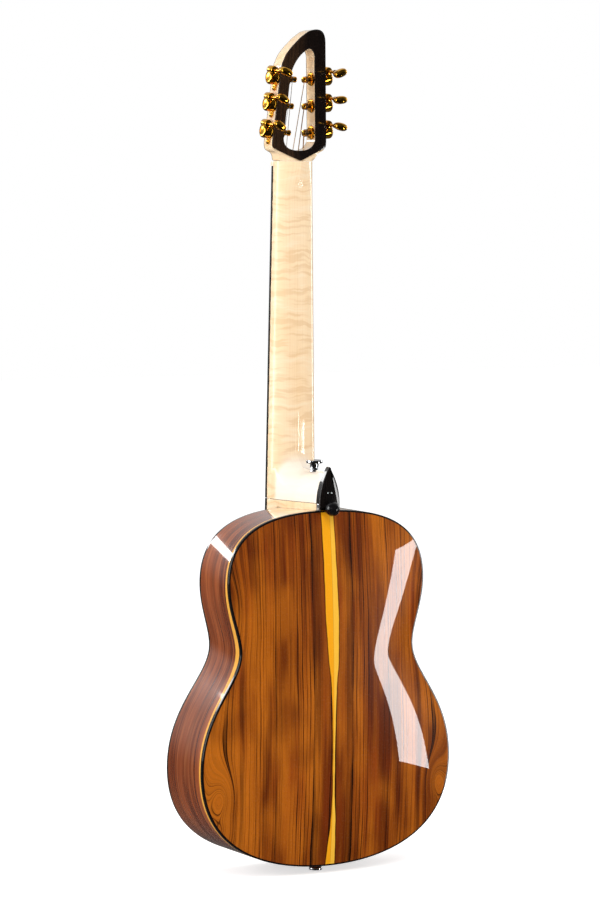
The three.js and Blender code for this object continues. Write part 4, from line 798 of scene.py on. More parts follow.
def lathe(profile, axis="z", centre=(0, 0, 0), count=48):
    """A profile of (radius, height) points turned about the axis x, y or z through centre. Rings follow the
    profile."""
    radius, height = (np.array(column, float)[:, None] for column in zip(*profile))
    turn = np.linspace(0, 2 * pi, count, endpoint=False)[None, :]
    ring = [radius * np.cos(turn), radius * np.sin(turn), np.broadcast_to(height, (len(radius), count))]
    order = {"x": (2, 0, 1), "y": (1, 2, 0), "z": (0, 1, 2)}[axis]
    return np.stack([ring[k] for k in order], axis=2) + np.array(centre)


bone = bone_finish()
surface("bridge", bridge_grid(), ebony, "sound_box", ["bridge"])
# The saddle: straight sides up from its foot and a rounded top, carried along a crest that falls to both ends
turn = np.linspace(0, pi, 15)
ends = np.linspace(-1, 1, 31)[:, None]
foot = np.full_like(ends, saddle_foot)
top = saddle_crest + saddle_fall * ends ** 2 + saddle_round * (1 - np.sin(turn) ** 0.7)
y = np.concatenate([foot, top, foot], axis=1)
x = np.broadcast_to(ends * saddle_half_width, y.shape)
z = np.broadcast_to(np.cos([0, *turn, pi]) * saddle_thickness / 2 + saddle_height, y.shape)
surface("saddle", np.stack([x, y, z], axis=2), bone, "sound_box", ["saddle"])
pin_profile = [(0.0, 2.0), (pin_radius * 0.8, 2.0), (pin_radius, 0.6), (pin_radius, 0.0),
               (pin_radius * 0.86, -0.9), (pin_radius * 0.5, -1.5), (0.0, -1.7)]
pin_height = saddle_height - anchor_drop
pin_front = float(soundboard_face(pin_height)) - bridge_thickness
pins = [lathe(pin_profile, "y", (x, pin_front, pin_height), 20)
        for x in string_spread_saddle * np.linspace(0.5, -0.5, 6)]
surface("bridge_pins", pins, bone, "sound_box", capped=False)


# Foot plate: the heel's own plan in maple, glued to the top of the body, and the wedge under the
# fingerboard's end. The hinge leaf is let into its top face.
foot_top, parting, foot_bevel = 400.5, 400.8, 0.35
board_face, board_thickness, board_back = -68.0, 4.2, -63.5
half_width_at_nut, half_width_at_body, nut_height = 22.2, 28.0, 761.4
heel_cap_front, heel_depth = 18.3, 81.5
heel_way_shares = (0, 0.14, 0.24, 0.33, 0.42, 0.62, 0.8, 0.93, 1)
heel_width_shares = (0.985, 0.975, 0.94, 0.9, 0.85, 0.72, 0.58, 0.475, 0.44)
board_end, glue_lap = 339.4, 0.3


def smooth_through(at, ways, values):
    """A smooth curve through (way, value) pairs: cubics whose slope at each pair follows its neighbours."""
    ways, values = np.array(ways, float), np.array(values, float)
    slope = np.gradient(values, ways)
    k = np.clip(np.searchsorted(ways, at) - 1, 0, len(ways) - 2)
    run = ways[k + 1] - ways[k]
    t = np.clip((at - ways[k]) / run, 0, 1)
    return (values[k] * (2 * t ** 3 - 3 * t ** 2 + 1) + slope[k] * run * (t ** 3 - 2 * t ** 2 + t)
            + values[k + 1] * (3 * t ** 2 - 2 * t ** 3) + slope[k + 1] * run * (t ** 3 - t ** 2))


def heel_half_width(y):
    """Half the heel's width at its foot, by how far back it is."""
    share = (y - board_back) / heel_depth
    return half_width_at_body * smooth_through(share, heel_way_shares, heel_width_shares)


def board_half_width(z):
    """Half the fingerboard's width: it tapers straight from the body to the nut."""
    share = (nut_height - z) / (nut_height - parting)
    return half_width_at_nut + (half_width_at_body - half_width_at_nut) * share


def foot_grid():
    """The heel's plan as a closed loop, from the curved top of the body up to the parting face."""
    y = np.linspace(board_back, heel_cap_front - 0.7, 60)
    side = np.stack([heel_half_width(y), y], axis=1)
    back = np.stack([np.linspace(side[-1, 0], 0, 12)[1:], np.full(11, y[-1])], axis=1)
    half = np.concatenate([[[0, board_back]], side, back])
    loop = np.concatenate([half, (half * [-1, 1])[-2:0:-1]])
    body_edge = np.interp(np.abs(loop[:, 0]), outline_half[:top_count, 0], outline_half[:top_count, 1])
    inward = np.array([0, -25]) - loop
    inward /= np.linalg.norm(inward, axis=1)[:, None]
    levels = [(body_edge + 0.12, 0.15), (body_edge + 0.3, 0), (foot_top - foot_bevel, 0),
              (foot_top, foot_bevel)]
    return np.stack([np.stack([*(loop + inward * inset).T, np.broadcast_to(z, len(loop))], axis=1)
                     for z, inset in levels])


def wedge_grid():
    """Four-cornered rings up the wedge, from the soundboard's face to the fingerboard's back."""
    z = np.linspace(board_end + 6, body_top + glue_lap, 12)
    half, front, back = board_half_width(z) - glue_lap, np.full_like(z, board_back), soundboard_face(z) - 0.1
    corners = ((half, front), (half, back), (-half, back), (-half, front))
    return np.stack([np.stack([x, y, z], axis=1) for x, y in corners], axis=1)


surface("foot_plate", [foot_grid(), wedge_grid()], maple, "sound_box", ["foot_plate"])


# Fingerboard: ebony in two lengths that part at the hinge, with wire frets crimped and dressed into it.
# The long one is glued to the neck, and the short one to the foot plate's wedge on the body.
fret_crown, fret_wire, fret_inset, scale_length, last_fret = 1.0, 2.2, 0.8, 645.0, 18
board_edge, parting_gap = 0.5, 0.3
nickel_bright = (206, 206, 204)


def board_grid(low, high):
    """Rings up the board: a flat section with its two playing edges eased."""
    z = np.linspace(low, high, 40)
    half = board_half_width(z)
    back, front = np.full_like(z, board_back - glue_lap), np.full_like(z, board_face)
    eased_at = 0.3 * board_edge
    section = [(half, back), (half, front + board_edge), (half - eased_at, front + eased_at),
               (half - board_edge, front)]
    section += [(-x, y) for x, y in section[::-1]]
    return np.stack([np.stack([x, y, z], axis=1) for x, y in section], axis=1)


def fret_grid(z):
    """A fret: half an oval carried across the board, rounded off at both ends."""
    reach = float(board_half_width(z)) - fret_inset
    end = -reach + 0.8 * (1 - np.cos(np.linspace(0, pi / 2, 5)))
    rise = np.sin(np.linspace(0.12, pi / 2, 5))
    x, up = np.array([*end, 0, *-end[::-1]])[:, None], np.array([*rise, 1, *rise[::-1]])[:, None]
    turn = np.linspace(0, pi, 9)
    y = board_face + 0.05 - fret_crown * up * np.sin(turn)
    return np.stack(np.broadcast_arrays(x, y, z + fret_wire / 2 * np.cos(turn)), axis=2)


def metal_finish(name, bright, dull, roughness, flecks=0.35):
    """Polished metal with faint clouds in its polish."""
    made, tree, shader, (x, y, z) = finish_of(name, Metallic=1.0)
    cloud = noise(tree, vector_of(tree, x, y, z), 0.6, 3.0)
    base = blend_colour(tree, steps(tree, cloud, 0.35, 0.75, 0.0, flecks), bright, dull)
    dress(tree, shader, base, (x, y, z), wave=12.0, dust=0.08, even_roughness=roughness, depth=0.02)
    return made


nickel = metal_finish("nickel wire", nickel_bright, (160, 158, 152), 0.16)
fret_heights = nut_height - scale_length * (1 - 2 ** (-np.arange(1, last_fret + 1) / 12))
for name, low, high, body in (("fingerboard_extension", board_end, parting - parting_gap, "sound_box"),
                              ("fingerboard", parting + parting_gap, nut_height, "neck")):
    surface(name, board_grid(low, high), ebony, body, [name])
    held = [fret_grid(z) for z in fret_heights if low + 1 < z < high - 1]
    surface("frets_" + name, held, nickel, body)


# Blocks, braces, bridge plate and the hinge's iron inside: plain shapes of the frame, in their own woods
# and steel
mahogany_mid, mahogany_dark = (150, 92, 56), (112, 62, 36)


def inner_wood(name, pale, deep):
    """Unpolished wood with its grain across the body."""
    made, tree, shader, place = finish_of(name, 0.6)
    side = plus(tree, place[1], times(tree, place[2], 0.7))
    rings = use_group(tree, growth_rings, Across=side, Along=place[0], Spacing=2.2, Waver=0.3, Sharpness=0.7)
    base = blend_colour(tree, times(tree, rings["Rings"], rings["Weight"]), pale, deep)
    dress(tree, shader, base, place, even_roughness=0.55, depth=0.1)
    return made


steel = metal_finish("ground steel", (176, 178, 182), (128, 130, 134), 0.3)
for material, names in (
    (inner_wood("mahogany", mahogany_mid, mahogany_dark),
     ("tail_block", "back_brace_1", "back_brace_2", "back_brace_3")),
    (inner_wood("brace spruce", spruce_pale, spruce_deep), ("cross_brace", "upper_brace")),
    (inner_wood("plate maple", maple_cream, maple_line), ("bridge_plate",)),
    (steel, ("hinge_leaf_body", "hinge_leaf_neck", "hinge_pin", "truss_rod", "lock_stud")),
):
    for name in names:
        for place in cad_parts[name].material_slots:
            place.material = material


# Lock: a chrome block let into the foot's back, a steel stud through it, and a black ball knob that is
# screwed down on a chrome washer. The heel cap's fork slides between washer and block.
lock_half_width, lock_front, lock_back, lock_bottom = 12.0, 18.0, 23.8, 393.5
stud_height, washer_front, washer_radius, washer_thickness = 395.7, 26.8, 5.6, 1.2
washer_bore, washer_edge = 2.2, 0.3
knob_face, knob_radius, knob_neck = 28.3, 8.1, 7.2
chrome_bright = (232, 234, 238)


def rounded_rectangle(x0, x1, z0, z1, radius, corner=8):
    """A closed loop round a rectangle with round corners."""
    turn = np.linspace(0, pi / 2, corner)
    arc = np.stack([np.cos(turn), np.sin(turn)], axis=1) * radius
    left, right, low, high = x0 + radius, x1 - radius, z0 + radius, z1 - radius
    centres = ((right, high), (left, high), (left, low), (right, low))
    turned = (arc, arc[:, ::-1] * [-1, 1], -arc, arc[:, ::-1] * [1, -1])
    return np.concatenate([part + centre for part, centre in zip(turned, centres)])


def inward_of(loop):
    """The way in at each point of a closed loop in a plane."""
    ahead = np.roll(loop, -1, axis=0) - loop
    behind = loop - np.roll(loop, 1, axis=0)
    ahead /= np.linalg.norm(ahead, axis=1)[:, None]
    behind /= np.linalg.norm(behind, axis=1)[:, None]
    way = ahead + behind
    way /= np.linalg.norm(way, axis=1)[:, None] + 1e-9
    area = np.sum(loop[:, 0] * np.roll(loop[:, 1], -1) - np.roll(loop[:, 0], -1) * loop[:, 1])
    return np.stack([-way[:, 1], way[:, 0]], axis=1) * np.sign(area)


def slab(loop, levels):
    """A plan carried back: a ring for each (depth, inset) of levels."""
    inward = inward_of(loop)
    return np.stack([at_depth(loop + inward * inset, depth) for depth, inset in levels])


def eased(front, back, ease):
    """Levels of a slab whose front and back edges are rounded by ease."""
    edge = quarter_round(ease, 5)
    return [(front + inset, down) for inset, down in edge] + [(back - down, inset) for inset, down in edge]


chrome = metal_finish("chrome", chrome_bright, (206, 208, 214), 0.05)
loop = rounded_rectangle(-lock_half_width, lock_half_width, lock_bottom, foot_top, 0.8)
surface("lock_block", slab(loop, eased(lock_front, lock_back, 0.6)), chrome, "sound_box",
                ["lock_block"])
washer_profile = [(washer_bore, 0.0), (washer_radius - washer_edge, 0.0), (washer_radius, washer_edge),
                  (washer_radius, washer_thickness - washer_edge),
                  (washer_radius - washer_edge, washer_thickness), (washer_bore, washer_thickness)]
washer = lathe(washer_profile, "y", (0, washer_front, stud_height))
surface("clamp_washer", washer, chrome, "clamp_washer", ["clamp_washer"], closed=True)

ball_gloss, tree, shader, (x, y, z) = finish_of("black ball", Coat_Weight=1.0, Coat_Roughness=0.02)
moulded = noise(tree, vector_of(tree, x, y, z), 0.3, 2.0)
dress(tree, shader, blend_colour(tree, moulded, (9, 9, 10), (20, 20, 22)), (x, y, z), wave=6.0,
      even_roughness=0.12, depth=0.01)
ball_rise = (knob_radius ** 2 - knob_neck ** 2) ** 0.5
turn = np.linspace(np.arctan2(knob_neck, -ball_rise), 0, 26)
ball = [(knob_radius * sin(a), ball_rise + knob_radius * cos(a)) for a in turn]
knob = lathe([(0.0, 0.0), (knob_neck - 0.4, 0.0)] + ball, "y", (0, knob_face, stud_height), 56)
surface("lock_knob", knob, ball_gloss, "lock_knob", ["lock_knob"], capped=False)


# Strap buttons: turned chrome buttons, screwed into the tail and onto the heel's shelf. Each has a stem and,
# at its free end, a wide disc that holds the strap.
end_disc, end_stem = 7.4, 4.9
strap_disc, strap_stem, strap_setback, strap_height, shelf_height = 9.3, 4.85, -8.9, 12.6, 433.2
strap_disc_thickness = 3.6

end_profile = [(0.0, 0.0), (end_disc * 0.8, 0.0), (end_disc * 0.93, 0.25), (end_disc, 1.0), (end_disc, 2.2),
               (end_disc * 0.94, 3.0), (end_stem * 1.1, 3.6), (end_stem * 0.94, 4.6), (end_stem * 0.94, 7.0),
               (end_stem * 1.05, 8.3), (end_stem * 1.05, 8.9), (0.0, 8.9)]
surface("end_button", lathe(end_profile), chrome, "sound_box", ["end_button"], capped=False)
rim = strap_height - strap_disc_thickness
strap_profile = [(0.0, 0.0), (strap_stem * 1.06, 0.0), (strap_stem * 1.06, 0.6), (strap_stem, 1.2),
                 (strap_stem, rim * 0.6), (strap_stem * 1.04, rim * 0.9), (strap_disc * 0.9, rim),
                 (strap_disc * 0.99, rim + 0.15), (strap_disc, rim + 0.4), (strap_disc, strap_height - 0.6),
                 (strap_disc * 0.98, strap_height - 0.2), (strap_disc * 0.9, strap_height),
                 (0.0, strap_height)]
strap = lathe(strap_profile, "z", (0, strap_setback, shelf_height - glue_lap))
surface("strap_button", strap, chrome, "neck", ["strap_button"], capped=False)


# Neck: one piece of flamed maple, carved to a shallow round at the back. It swells to a deep heel with a
# rounded shelf at the body, and to a volute under the headstock. The hinge leaf is let into its foot.
neck_foot, shaft_top = 401.1, 766.6
thickness_at_body, thickness_at_nut, neck_side_depth = 23.5, 21.5, 5.0
volute_rise, volute_length = 5.6, 34.0
neck_power, volute_power = 0.425, 0.4
shelf, heel_front_height = 31.8, 62.0
heel_height_shares = (1, 0.72, 0.4, 0.14, 0.02, 0, 0, 0.02, 0.06)
heel_fullness = (6, 5, 4.2, 3.8, 3.4, 3, 2.7, 2.3, 2.1)
heel_blend = 5.5


def eased_step(value, low, high):
    """0 below low and 1 above high, with 3t^2 - 2t^3 between."""
    t = np.clip((value - low) / (high - low), 0, 1)
    return t * t * (3 - 2 * t)


def neck_half_width_at(y, z):
    """Half width of the neck's section at a depth: straight sides, then a shallow round."""
    share = (nut_height - z) / (nut_height - parting)
    thick = thickness_at_nut + (thickness_at_body - thickness_at_nut) * share
    thick = thick + volute_rise * eased_step(z, shaft_top - volute_length, shaft_top)
    deep = thick - board_thickness - glue_lap - neck_side_depth
    way = np.clip((y - board_back - neck_side_depth) / deep, 0, None)
    power = neck_power + volute_power * eased_step(z, shaft_top - volute_length, shaft_top)
    half = board_half_width(np.minimum(z, nut_height)) * np.clip(1 - way ** 2, 0, None) ** power
    return np.where(y < board_back - 1e-6, 0, half)


def heel_half_width_at(y, z):
    """Half width of the heel's arch at a depth and a height: it narrows to nothing at the arch's crown."""
    way = np.clip((y - board_back) / heel_depth, 0, 1)
    crown = shelf + (heel_front_height - shelf) * smooth_through(way, heel_way_shares, heel_height_shares)
    full = smooth_through(way, heel_way_shares, heel_fullness)
    climb = np.clip((z - neck_foot) / crown, 0, 1)
    half = heel_half_width(y) * (1 - climb ** full)
    return np.where((y < board_back - 1e-6) | (y > board_back + heel_depth + 1e-6), 0, half)


def reach_of(half_width_at, angle, z, centre_y, far, count):
    """How far from the centre line a section reaches at an angle: the last point along the ray inside its
    width."""
    step = np.linspace(0, far, count)
    y = centre_y + step * np.cos(angle)[..., None]
    spare = half_width_at(y, z[:, None, None]) - step * np.sin(angle)[..., None]
    inside = spare > 1e-6
    last = inside.shape[-1] - 1 - np.argmax(inside[..., ::-1], axis=-1)
    after = np.minimum(last + 1, inside.shape[-1] - 1)
    here = np.take_along_axis(spare, last[..., None], -1)[..., 0]
    there = np.take_along_axis(spare, after[..., None], -1)[..., 0]
    part = np.where((after > last) & (here - there > 1e-9), here / np.maximum(here - there, 1e-9), 0)
    return np.where(inside.any(axis=-1), step[last] + np.clip(part, 0, 1) * step[1], 0)


def neck_grid():
    """Rings up the neck. Round each ring go rays from the centre line, and each reaches as far as the
    neck's or the heel's section does, whichever is further, with a soft hollow where the two meet."""
    stops = (neck_foot, neck_foot + 22, neck_foot + 36, neck_foot + 74, 726, shaft_top)
    spans = zip(stops, stops[1:], (12, 70, 48, 70, 30))
    z = np.concatenate([[neck_foot], *(np.linspace(low, high, count)[1:] for low, high, count in spans)])
    centre_y = board_back + neck_side_depth + 0.5
    corner = np.arctan2(board_half_width(np.minimum(z, nut_height)), board_back - centre_y)[:, None]
    back = corner * np.linspace(0, 1, 84)[None, :] ** 1.55
    neck = reach_of(neck_half_width_at, back, z, centre_y, 34.0, 120)
    heel = reach_of(heel_half_width_at, back, z, centre_y, 84.0, 420)
    soft = heel_blend * np.clip(np.cos(back), 0, 1) ** 1.5 + 0.15
    near = np.clip(soft - np.abs(neck - heel), 0, None)
    touching = np.clip(heel / 6, 0, 1)
    reach = np.maximum(neck, heel) + near ** 2 / (4 * soft) * touching
    side_x, side_y = reach * np.sin(back), centre_y + reach * np.cos(back)
    face = np.linspace(1, 0, 7)[None, 1:]
    half_x = np.concatenate([side_x, side_x[:, -1:] * face], axis=1)
    half_y = np.concatenate([side_y, np.broadcast_to(side_y[:, -1:], (len(z), 6))], axis=1)
    x = np.concatenate([half_x, -half_x[:, -2:0:-1]], axis=1)
    y = np.concatenate([half_y, half_y[:, -2:0:-1]], axis=1)
    return np.stack([x, y, np.broadcast_to(z[:, None], x.shape)], axis=2)


surface("neck_shaft", neck_grid(), maple, "neck", ["neck_shaft"], crease=50)


# Nut: a bone strip that spaces the strings, its top rounded over towards the headstock. Each string lies in
# a shallow notch of its own.
nut_thickness, nut_rise, string_spread_nut = 4.6, 2.4, 36.0
across = np.linspace(-half_width_at_nut, half_width_at_nut, 61)
notches = string_spread_nut * np.linspace(-0.5, 0.5, 6)
notch = np.exp(-((across[:, None] - notches[None, :]) / 0.5) ** 2).sum(axis=1) * 0.7
turn = np.linspace(0, pi / 2, 8)
z = np.concatenate([[0, 0], nut_thickness * np.sin(turn), [nut_thickness]]) + nut_height + glue_lap
lift = np.concatenate([[0, 0.9], np.cos(turn) * 0.45 + 0.5, [0]])
sunk = notch[:, None] * (lift > 0.4)[None, :]
y = board_back - glue_lap - (nut_rise + board_thickness) * lift[None, :] + sunk
grid = np.stack(np.broadcast_arrays(across[:, None], y, z[None, :]), axis=2)
surface("nut", grid, bone, "neck", ["nut"])


# Heel cap: an ebony shield with a pointed arch, bevelled round its back edge. Its tail is forked to
# straddle the locking stud. Two pearl dots are let into it.
cap_thickness, cap_half_width, cap_rise = 8.0, 12.4, 39.0
cap_tail_thickness, cap_tail_end, cap_bevel, cap_slot = 2.2, 393.2, 1.3, 2.6
dot_radius, dot_height, dot_places = 0.75, 412.3, (2.5, -1.8)


def cap_loop(tailed):
    """The shield's outline: sides that close as a parabola. With its tail it runs down and round the stud's
    slot."""
    climb = np.linspace(0, 1, 40)
    arch = np.stack([cap_half_width * (1 - climb ** 2), neck_foot + cap_rise * climb], axis=1)
    half = arch[::-1]
    if tailed:
        turn = np.linspace(0, pi / 2, 14)
        slot = np.stack([cap_slot * np.cos(turn), stud_height + cap_slot * np.sin(turn)], axis=1)
        side = np.stack([np.full(8, cap_half_width), np.linspace(neck_foot, cap_tail_end, 9)[1:]], axis=1)
        foot = np.stack([np.linspace(cap_half_width, cap_slot, 8)[1:], np.full(7, cap_tail_end)], axis=1)
        half = np.concatenate([half, side, foot, slot])
    else:
        foot = np.stack([np.linspace(cap_half_width, 0, 8)[1:], np.full(7, neck_foot)], axis=1)
        half = np.concatenate([half, foot])
    return np.concatenate([half, (half * [-1, 1])[-2:0:-1]])


cap_back = heel_cap_front + cap_thickness
tail_front = cap_back - cap_tail_thickness
rounded = [(cap_back - down, inset) for inset, down in quarter_round(cap_bevel, 6)]
shield = slab(even(cap_loop(False), 240, closed=True), [(heel_cap_front, 0), (tail_front, 0)])
fork = slab(even(cap_loop(True), 320, closed=True), [(tail_front, 0)] + rounded)
surface("heel_cap", [shield, fork], ebony, "neck", ["heel_cap"], crease=40)

pearl, tree, shader, (x, y, z) = finish_of("pearl", Coat_Weight=0.6, Coat_Roughness=0.04)
shimmer = noise(tree, vector_of(tree, x, y, z), 0.9, 3.0)
dress(tree, shader, blend_colour(tree, shimmer, (214, 222, 214), (176, 190, 196)), (x, y, z),
      even_roughness=0.18)
dot_profile = [(0.0, -0.4), (dot_radius, -0.4), (dot_radius, 0.02), (dot_radius * 0.8, 0.06), (0.0, 0.07)]
dots = [lathe(dot_profile, "y", (x, cap_back, dot_height), 20) for x in dot_places]
surface("heel_cap_dots", dots, pearl, "neck", capped=False)


# Headstock: an open maple frame that leans back, with a black veneer on its front and one on its back. The
# crest slopes from the bass side to the treble side, and the back veneer ends in a point over the neck.
headstock_bottom, headstock_length, shoulder_height = 766.9, 141.6, 779.8
headstock_lean, headstock_back_at_shoulder, headstock_thickness = 0.0995, -45.6, 20.3
headstock_half_width, headstock_taper = 33.6, 0.0716
front_veneer, back_veneer, volute_tip, shoulder_fall = 1.2, 1.8, 6.0, 9.0
window_half_width, window_taper, window_bottom, window_top, window_corner = 19.75, 0.0654, 11.1, 120.6, 14.0
crest_shares = ((-0.757, 0.905), (-0.74, 0.935), (-0.69, 0.965), (-0.61, 0.987), (-0.52, 0.997),
                (-0.357, 0.999), (-0.131, 0.985), (0.152, 0.937), (0.461, 0.864), (0.65, 0.807),
                (0.768, 0.742), (0.8, 0.722))
shoulder_shares = ((0.99, 0.14), (0.975, 0.1), (0.92, 0.08), (0.8, 0.07), (0.7, 0.058), (0.661, 0.03),
                   (0.661, 0.0))
headstock_soften, window_soften, window_slope_share = 2.2, 1.4, 28 / 110


def headstock_back(z):
    """Depth of the headstock's leaning back."""
    return headstock_back_at_shoulder + headstock_lean * (z - shoulder_height)


def neck_back_at(x):
    """Depth of the neck's back under the headstock, from the formula for the neck's width turned round."""
    thick = thickness_at_nut + volute_rise
    deep = thick - board_thickness - glue_lap - neck_side_depth
    across = np.minimum(1, np.abs(x) / board_half_width(np.array(nut_height)))
    return board_back + neck_side_depth + deep * np.sqrt(1 - across ** (1 / (neck_power + volute_power)))


def volute_at(x, z):
    """How much the back swells towards the neck, most on the centre line. Its sides fall away to the neck's
    round."""
    down = np.clip((shoulder_height - z) / (shoulder_height - headstock_bottom), 0, 1)
    swell = volute_tip * down * (1 - np.minimum(1, np.abs(x) / headstock_half_width))
    proud = headstock_back(z) - back_veneer + swell - neck_back_at(x)
    return swell - down ** 3 * np.clip(proud, 0, shoulder_fall)


def headstock_loop(pointed):
    """The frame's outer edge, from its crest down the treble side and up the bass side. A pointed one ends
    in a tip."""
    side = shoulder_shares[:2] if pointed else shoulder_shares
    tip = ((0.0, 0.0),) if pointed else ()
    corners = np.array(crest_shares + side + tip + tuple((-x, up) for x, up in side[::-1]))
    corners = corners * [headstock_half_width, headstock_length] + [0, headstock_bottom]
    return soften(even(corners, 420, closed=True), headstock_soften * (0.75 if pointed else 1))


def curve_between(a, b, c, count=24):
    """A quadratic curve from a to c, drawn towards b."""
    t = np.linspace(0, 1, count, endpoint=False)[:, None]
    a, b, c = (np.array(p, float) for p in (a, b, c))
    return a * (1 - t) ** 2 + 2 * b * t * (1 - t) + c * t ** 2


def window_half(z):
    """Half the opening's width: its sides taper straight."""
    return window_half_width - window_taper * (z - headstock_bottom - window_bottom - window_corner)


def window_loop():
    """The opening: a round foot, straight tapering sides, and a top that follows the crest's slope."""
    bottom, top = headstock_bottom + window_bottom, headstock_bottom + window_top
    low, shoulder = bottom + window_corner, top - window_slope_share * (window_top - window_bottom)
    corner = top - window_corner * 0.8
    half_low, half_shoulder, half_top = (window_half(z) for z in (low, shoulder, top))
    corners = ((-half_low, low), (-half_low, bottom), (0, bottom), (half_low, bottom), (half_low, low),
               ((half_low + half_shoulder) / 2, (low + shoulder) / 2), (half_shoulder, shoulder),
               (half_top * 0.7, top - window_corner * 0.55), (-half_top * 0.4, top), (-half_top, top),
               (-half_top, corner), (-(half_top + half_low) / 2, (corner + low) / 2), (-half_low, low))
    runs = [curve_between(*corners[k:k + 3]) for k in range(0, len(corners) - 2, 2)]
    return soften(even(np.concatenate(runs), 420, closed=True), window_soften)


def matched(outer, inner):
    """For each point of outer, the point of inner that lies the same way from the window's middle."""
    middle = np.array([0, headstock_bottom + (window_bottom + window_top) / 2])
    way, angle = (np.arctan2(*(loop - middle).T[::-1]) for loop in (outer, inner))
    far = np.linalg.norm(inner - middle, axis=1)
    order = np.argsort(angle)
    reach = np.interp(way, angle[order], far[order], period=2 * pi)
    return middle + np.stack([np.cos(way), np.sin(way)], axis=1) * reach[:, None]


def frame_grid(outer, depth_front, depth_back, ease_front, ease_back, swollen=(False, False)):
    """A ring-shaped plate between the outer loop and the window: its section runs back, across, forward and
    across. swollen says whether its front and its back follow the volute."""
    inner = matched(outer, window_loop())
    way_in, way_out = inward_of(outer), -inward_of(inner)
    rows = []
    for back, ease in ((False, ease_front), (True, ease_back)):
        edge = quarter_round(ease, 4) if ease else [(0.0, 0.0)]
        side_out = [(outer + way_in * inset, drop) for inset, drop in edge]
        side_in = [(inner + way_out * inset, drop) for inset, drop in edge]
        across = [(side_out[-1][0] * (1 - t) + side_in[-1][0] * t, 0.0) for t in np.linspace(0, 1, 7)[1:-1]]
        run = side_out + across + side_in[::-1]
        for flat, drop in (run if back else run[::-1]):
            swell = volute_at(flat[:, 0], flat[:, 1]) if swollen[back] else 0
            under = -depth_back - drop if back else drop - depth_front
            rows.append(at_depth(flat, headstock_back(flat[:, 1]) + swell + under))
    return np.stack(rows)


def veneer_finish():
    """Black veneer whose brown grain shows on the treble limb."""
    made, tree, shader, (x, y, z) = finish_of("black veneer", Coat_Weight=1.0, Coat_Roughness=0.02)
    rings = use_group(tree, growth_rings, Across=x, Along=z, Spacing=1.3, Waver=0.25, Sharpness=0.6)
    limb = steps(tree, x, -4.0, 16.0, 0.1, 1.0)
    broad = cloud_of(tree, (x, 0.3), 0.0, (z, 0.012), detail=3.0)
    warm = times(tree, limb, steps(tree, broad, 0.3, 0.7, 0.35, 1.0))
    base = blend_colour(tree, warm, (10, 8, 9), (64, 44, 28))
    base = blend_colour(tree, times(tree, rings["Rings"], limb, 0.7), base, (24, 15, 10))
    dress(tree, shader, base, (x, y, z), even_roughness=0.2, depth=0.03)
    return made


veneer = veneer_finish()
outer = headstock_loop(False)
core = frame_grid(outer, headstock_thickness - front_veneer, back_veneer, 0, 0, (False, True))
surface("headstock", core, maple, "neck", ["headstock"], closed=True)
front = frame_grid(outer, headstock_thickness, headstock_thickness - front_veneer, 0.4, 0)
surface("headstock_front_veneer", front, ebony, "neck", ["headstock_front_veneer"], closed=True)
back = frame_grid(headstock_loop(True), back_veneer, 0, 0, 0.5, (True, True))
surface("headstock_back_veneer", back, veneer, "neck", ["headstock_back_veneer"], closed=True)


# Tuning machines: six gold-plated worm gears, each a domed drum on the frame's side with its worm barrel
# across it. A sleeve runs through the rail to a hex nut in the window, and the post turns in it. The key
# ends in a button.
tuner_first, tuner_pitch, post_depth, post_radius, post_reach = 31.8, 28.65, 8.8, 3.3, 11.2
sleeve_radius, hex_radius, hex_thickness = 4.7, 6.9, 2.4
drum_radius, drum_length, worm_barrel_radius, worm_barrel_half = 7.8, 10.3, 4.5, 6.0
wheel_middle, key_offset, key_shaft_radius, key_end = 5.75, 7.97, 1.7, 35.5
button_length, button_half_width, button_thickness = 17.5, 7.2, 8.4
lug_reach, lug_half_width, lug_thickness, lug_screw_radius = 14.2, 3.3, 1.6, 2.3
key_turns = {1: (-32, -28, -20), -1: (18, -2, -22)}
gold_bright, gold_deep = (252, 188, 62), (236, 150, 30)


def side_edge(z):
    """Half the headstock's width: its sides taper straight."""
    return headstock_half_width - headstock_taper * (z - shoulder_height)


def rail_width(z):
    """How wide the headstock's rail is where a machine goes through it."""
    return side_edge(z) - window_half(z) + hex_radius * window_taper


def placed(grid, side, z):
    """From the machine's own directions (out of the rail, back, up) to its place on one side of the
    headstock."""
    across, lean = atan(headstock_taper), atan(headstock_lean)
    out, back, up = grid[..., 0], grid[..., 1], grid[..., 2]
    x, w = out * cos(across) - up * sin(across), out * sin(across) + up * cos(across)
    y, w = back * cos(lean) + w * sin(lean), w * cos(lean) - back * sin(lean)
    return np.stack([side * (side_edge(z) + x), headstock_back(z) - post_depth + y, z + w], axis=-1)


def button_grid(turn):
    """The button: full oval sections, cos and sin to the power 0.82, along the key. They widen and thicken
    to its shoulder, and its end is round."""
    way = np.concatenate([[0], np.linspace(0.02, 0.9, 18),
                          1 - 0.1 * (1 - np.sin(np.linspace(0, pi / 2, 8)[1:]))])
    wide = smooth_through(way, (0, 0.15, 0.45, 0.78, 0.93, 1), (0.34, 0.5, 0.92, 1.0, 0.84, 0.5))
    thick = smooth_through(way, (0, 0.2, 0.5, 0.8, 0.94, 1), (0.5, 0.62, 0.9, 1.0, 0.8, 0.42))
    angle = np.linspace(0, 2 * pi, 32, endpoint=False)
    u, w = (np.sign(value) * np.abs(value) ** 0.82 for value in (np.cos(angle), np.sin(angle)))
    u, w = button_half_width * wide[:, None] * u, button_thickness / 2 * thick[:, None] * w
    v = np.broadcast_to((key_end - button_length + way * button_length)[:, None], u.shape)
    return np.stack([u * cos(turn) + w * sin(turn) + wheel_middle, v,
                     w * cos(turn) - u * sin(turn) + key_offset], axis=2)


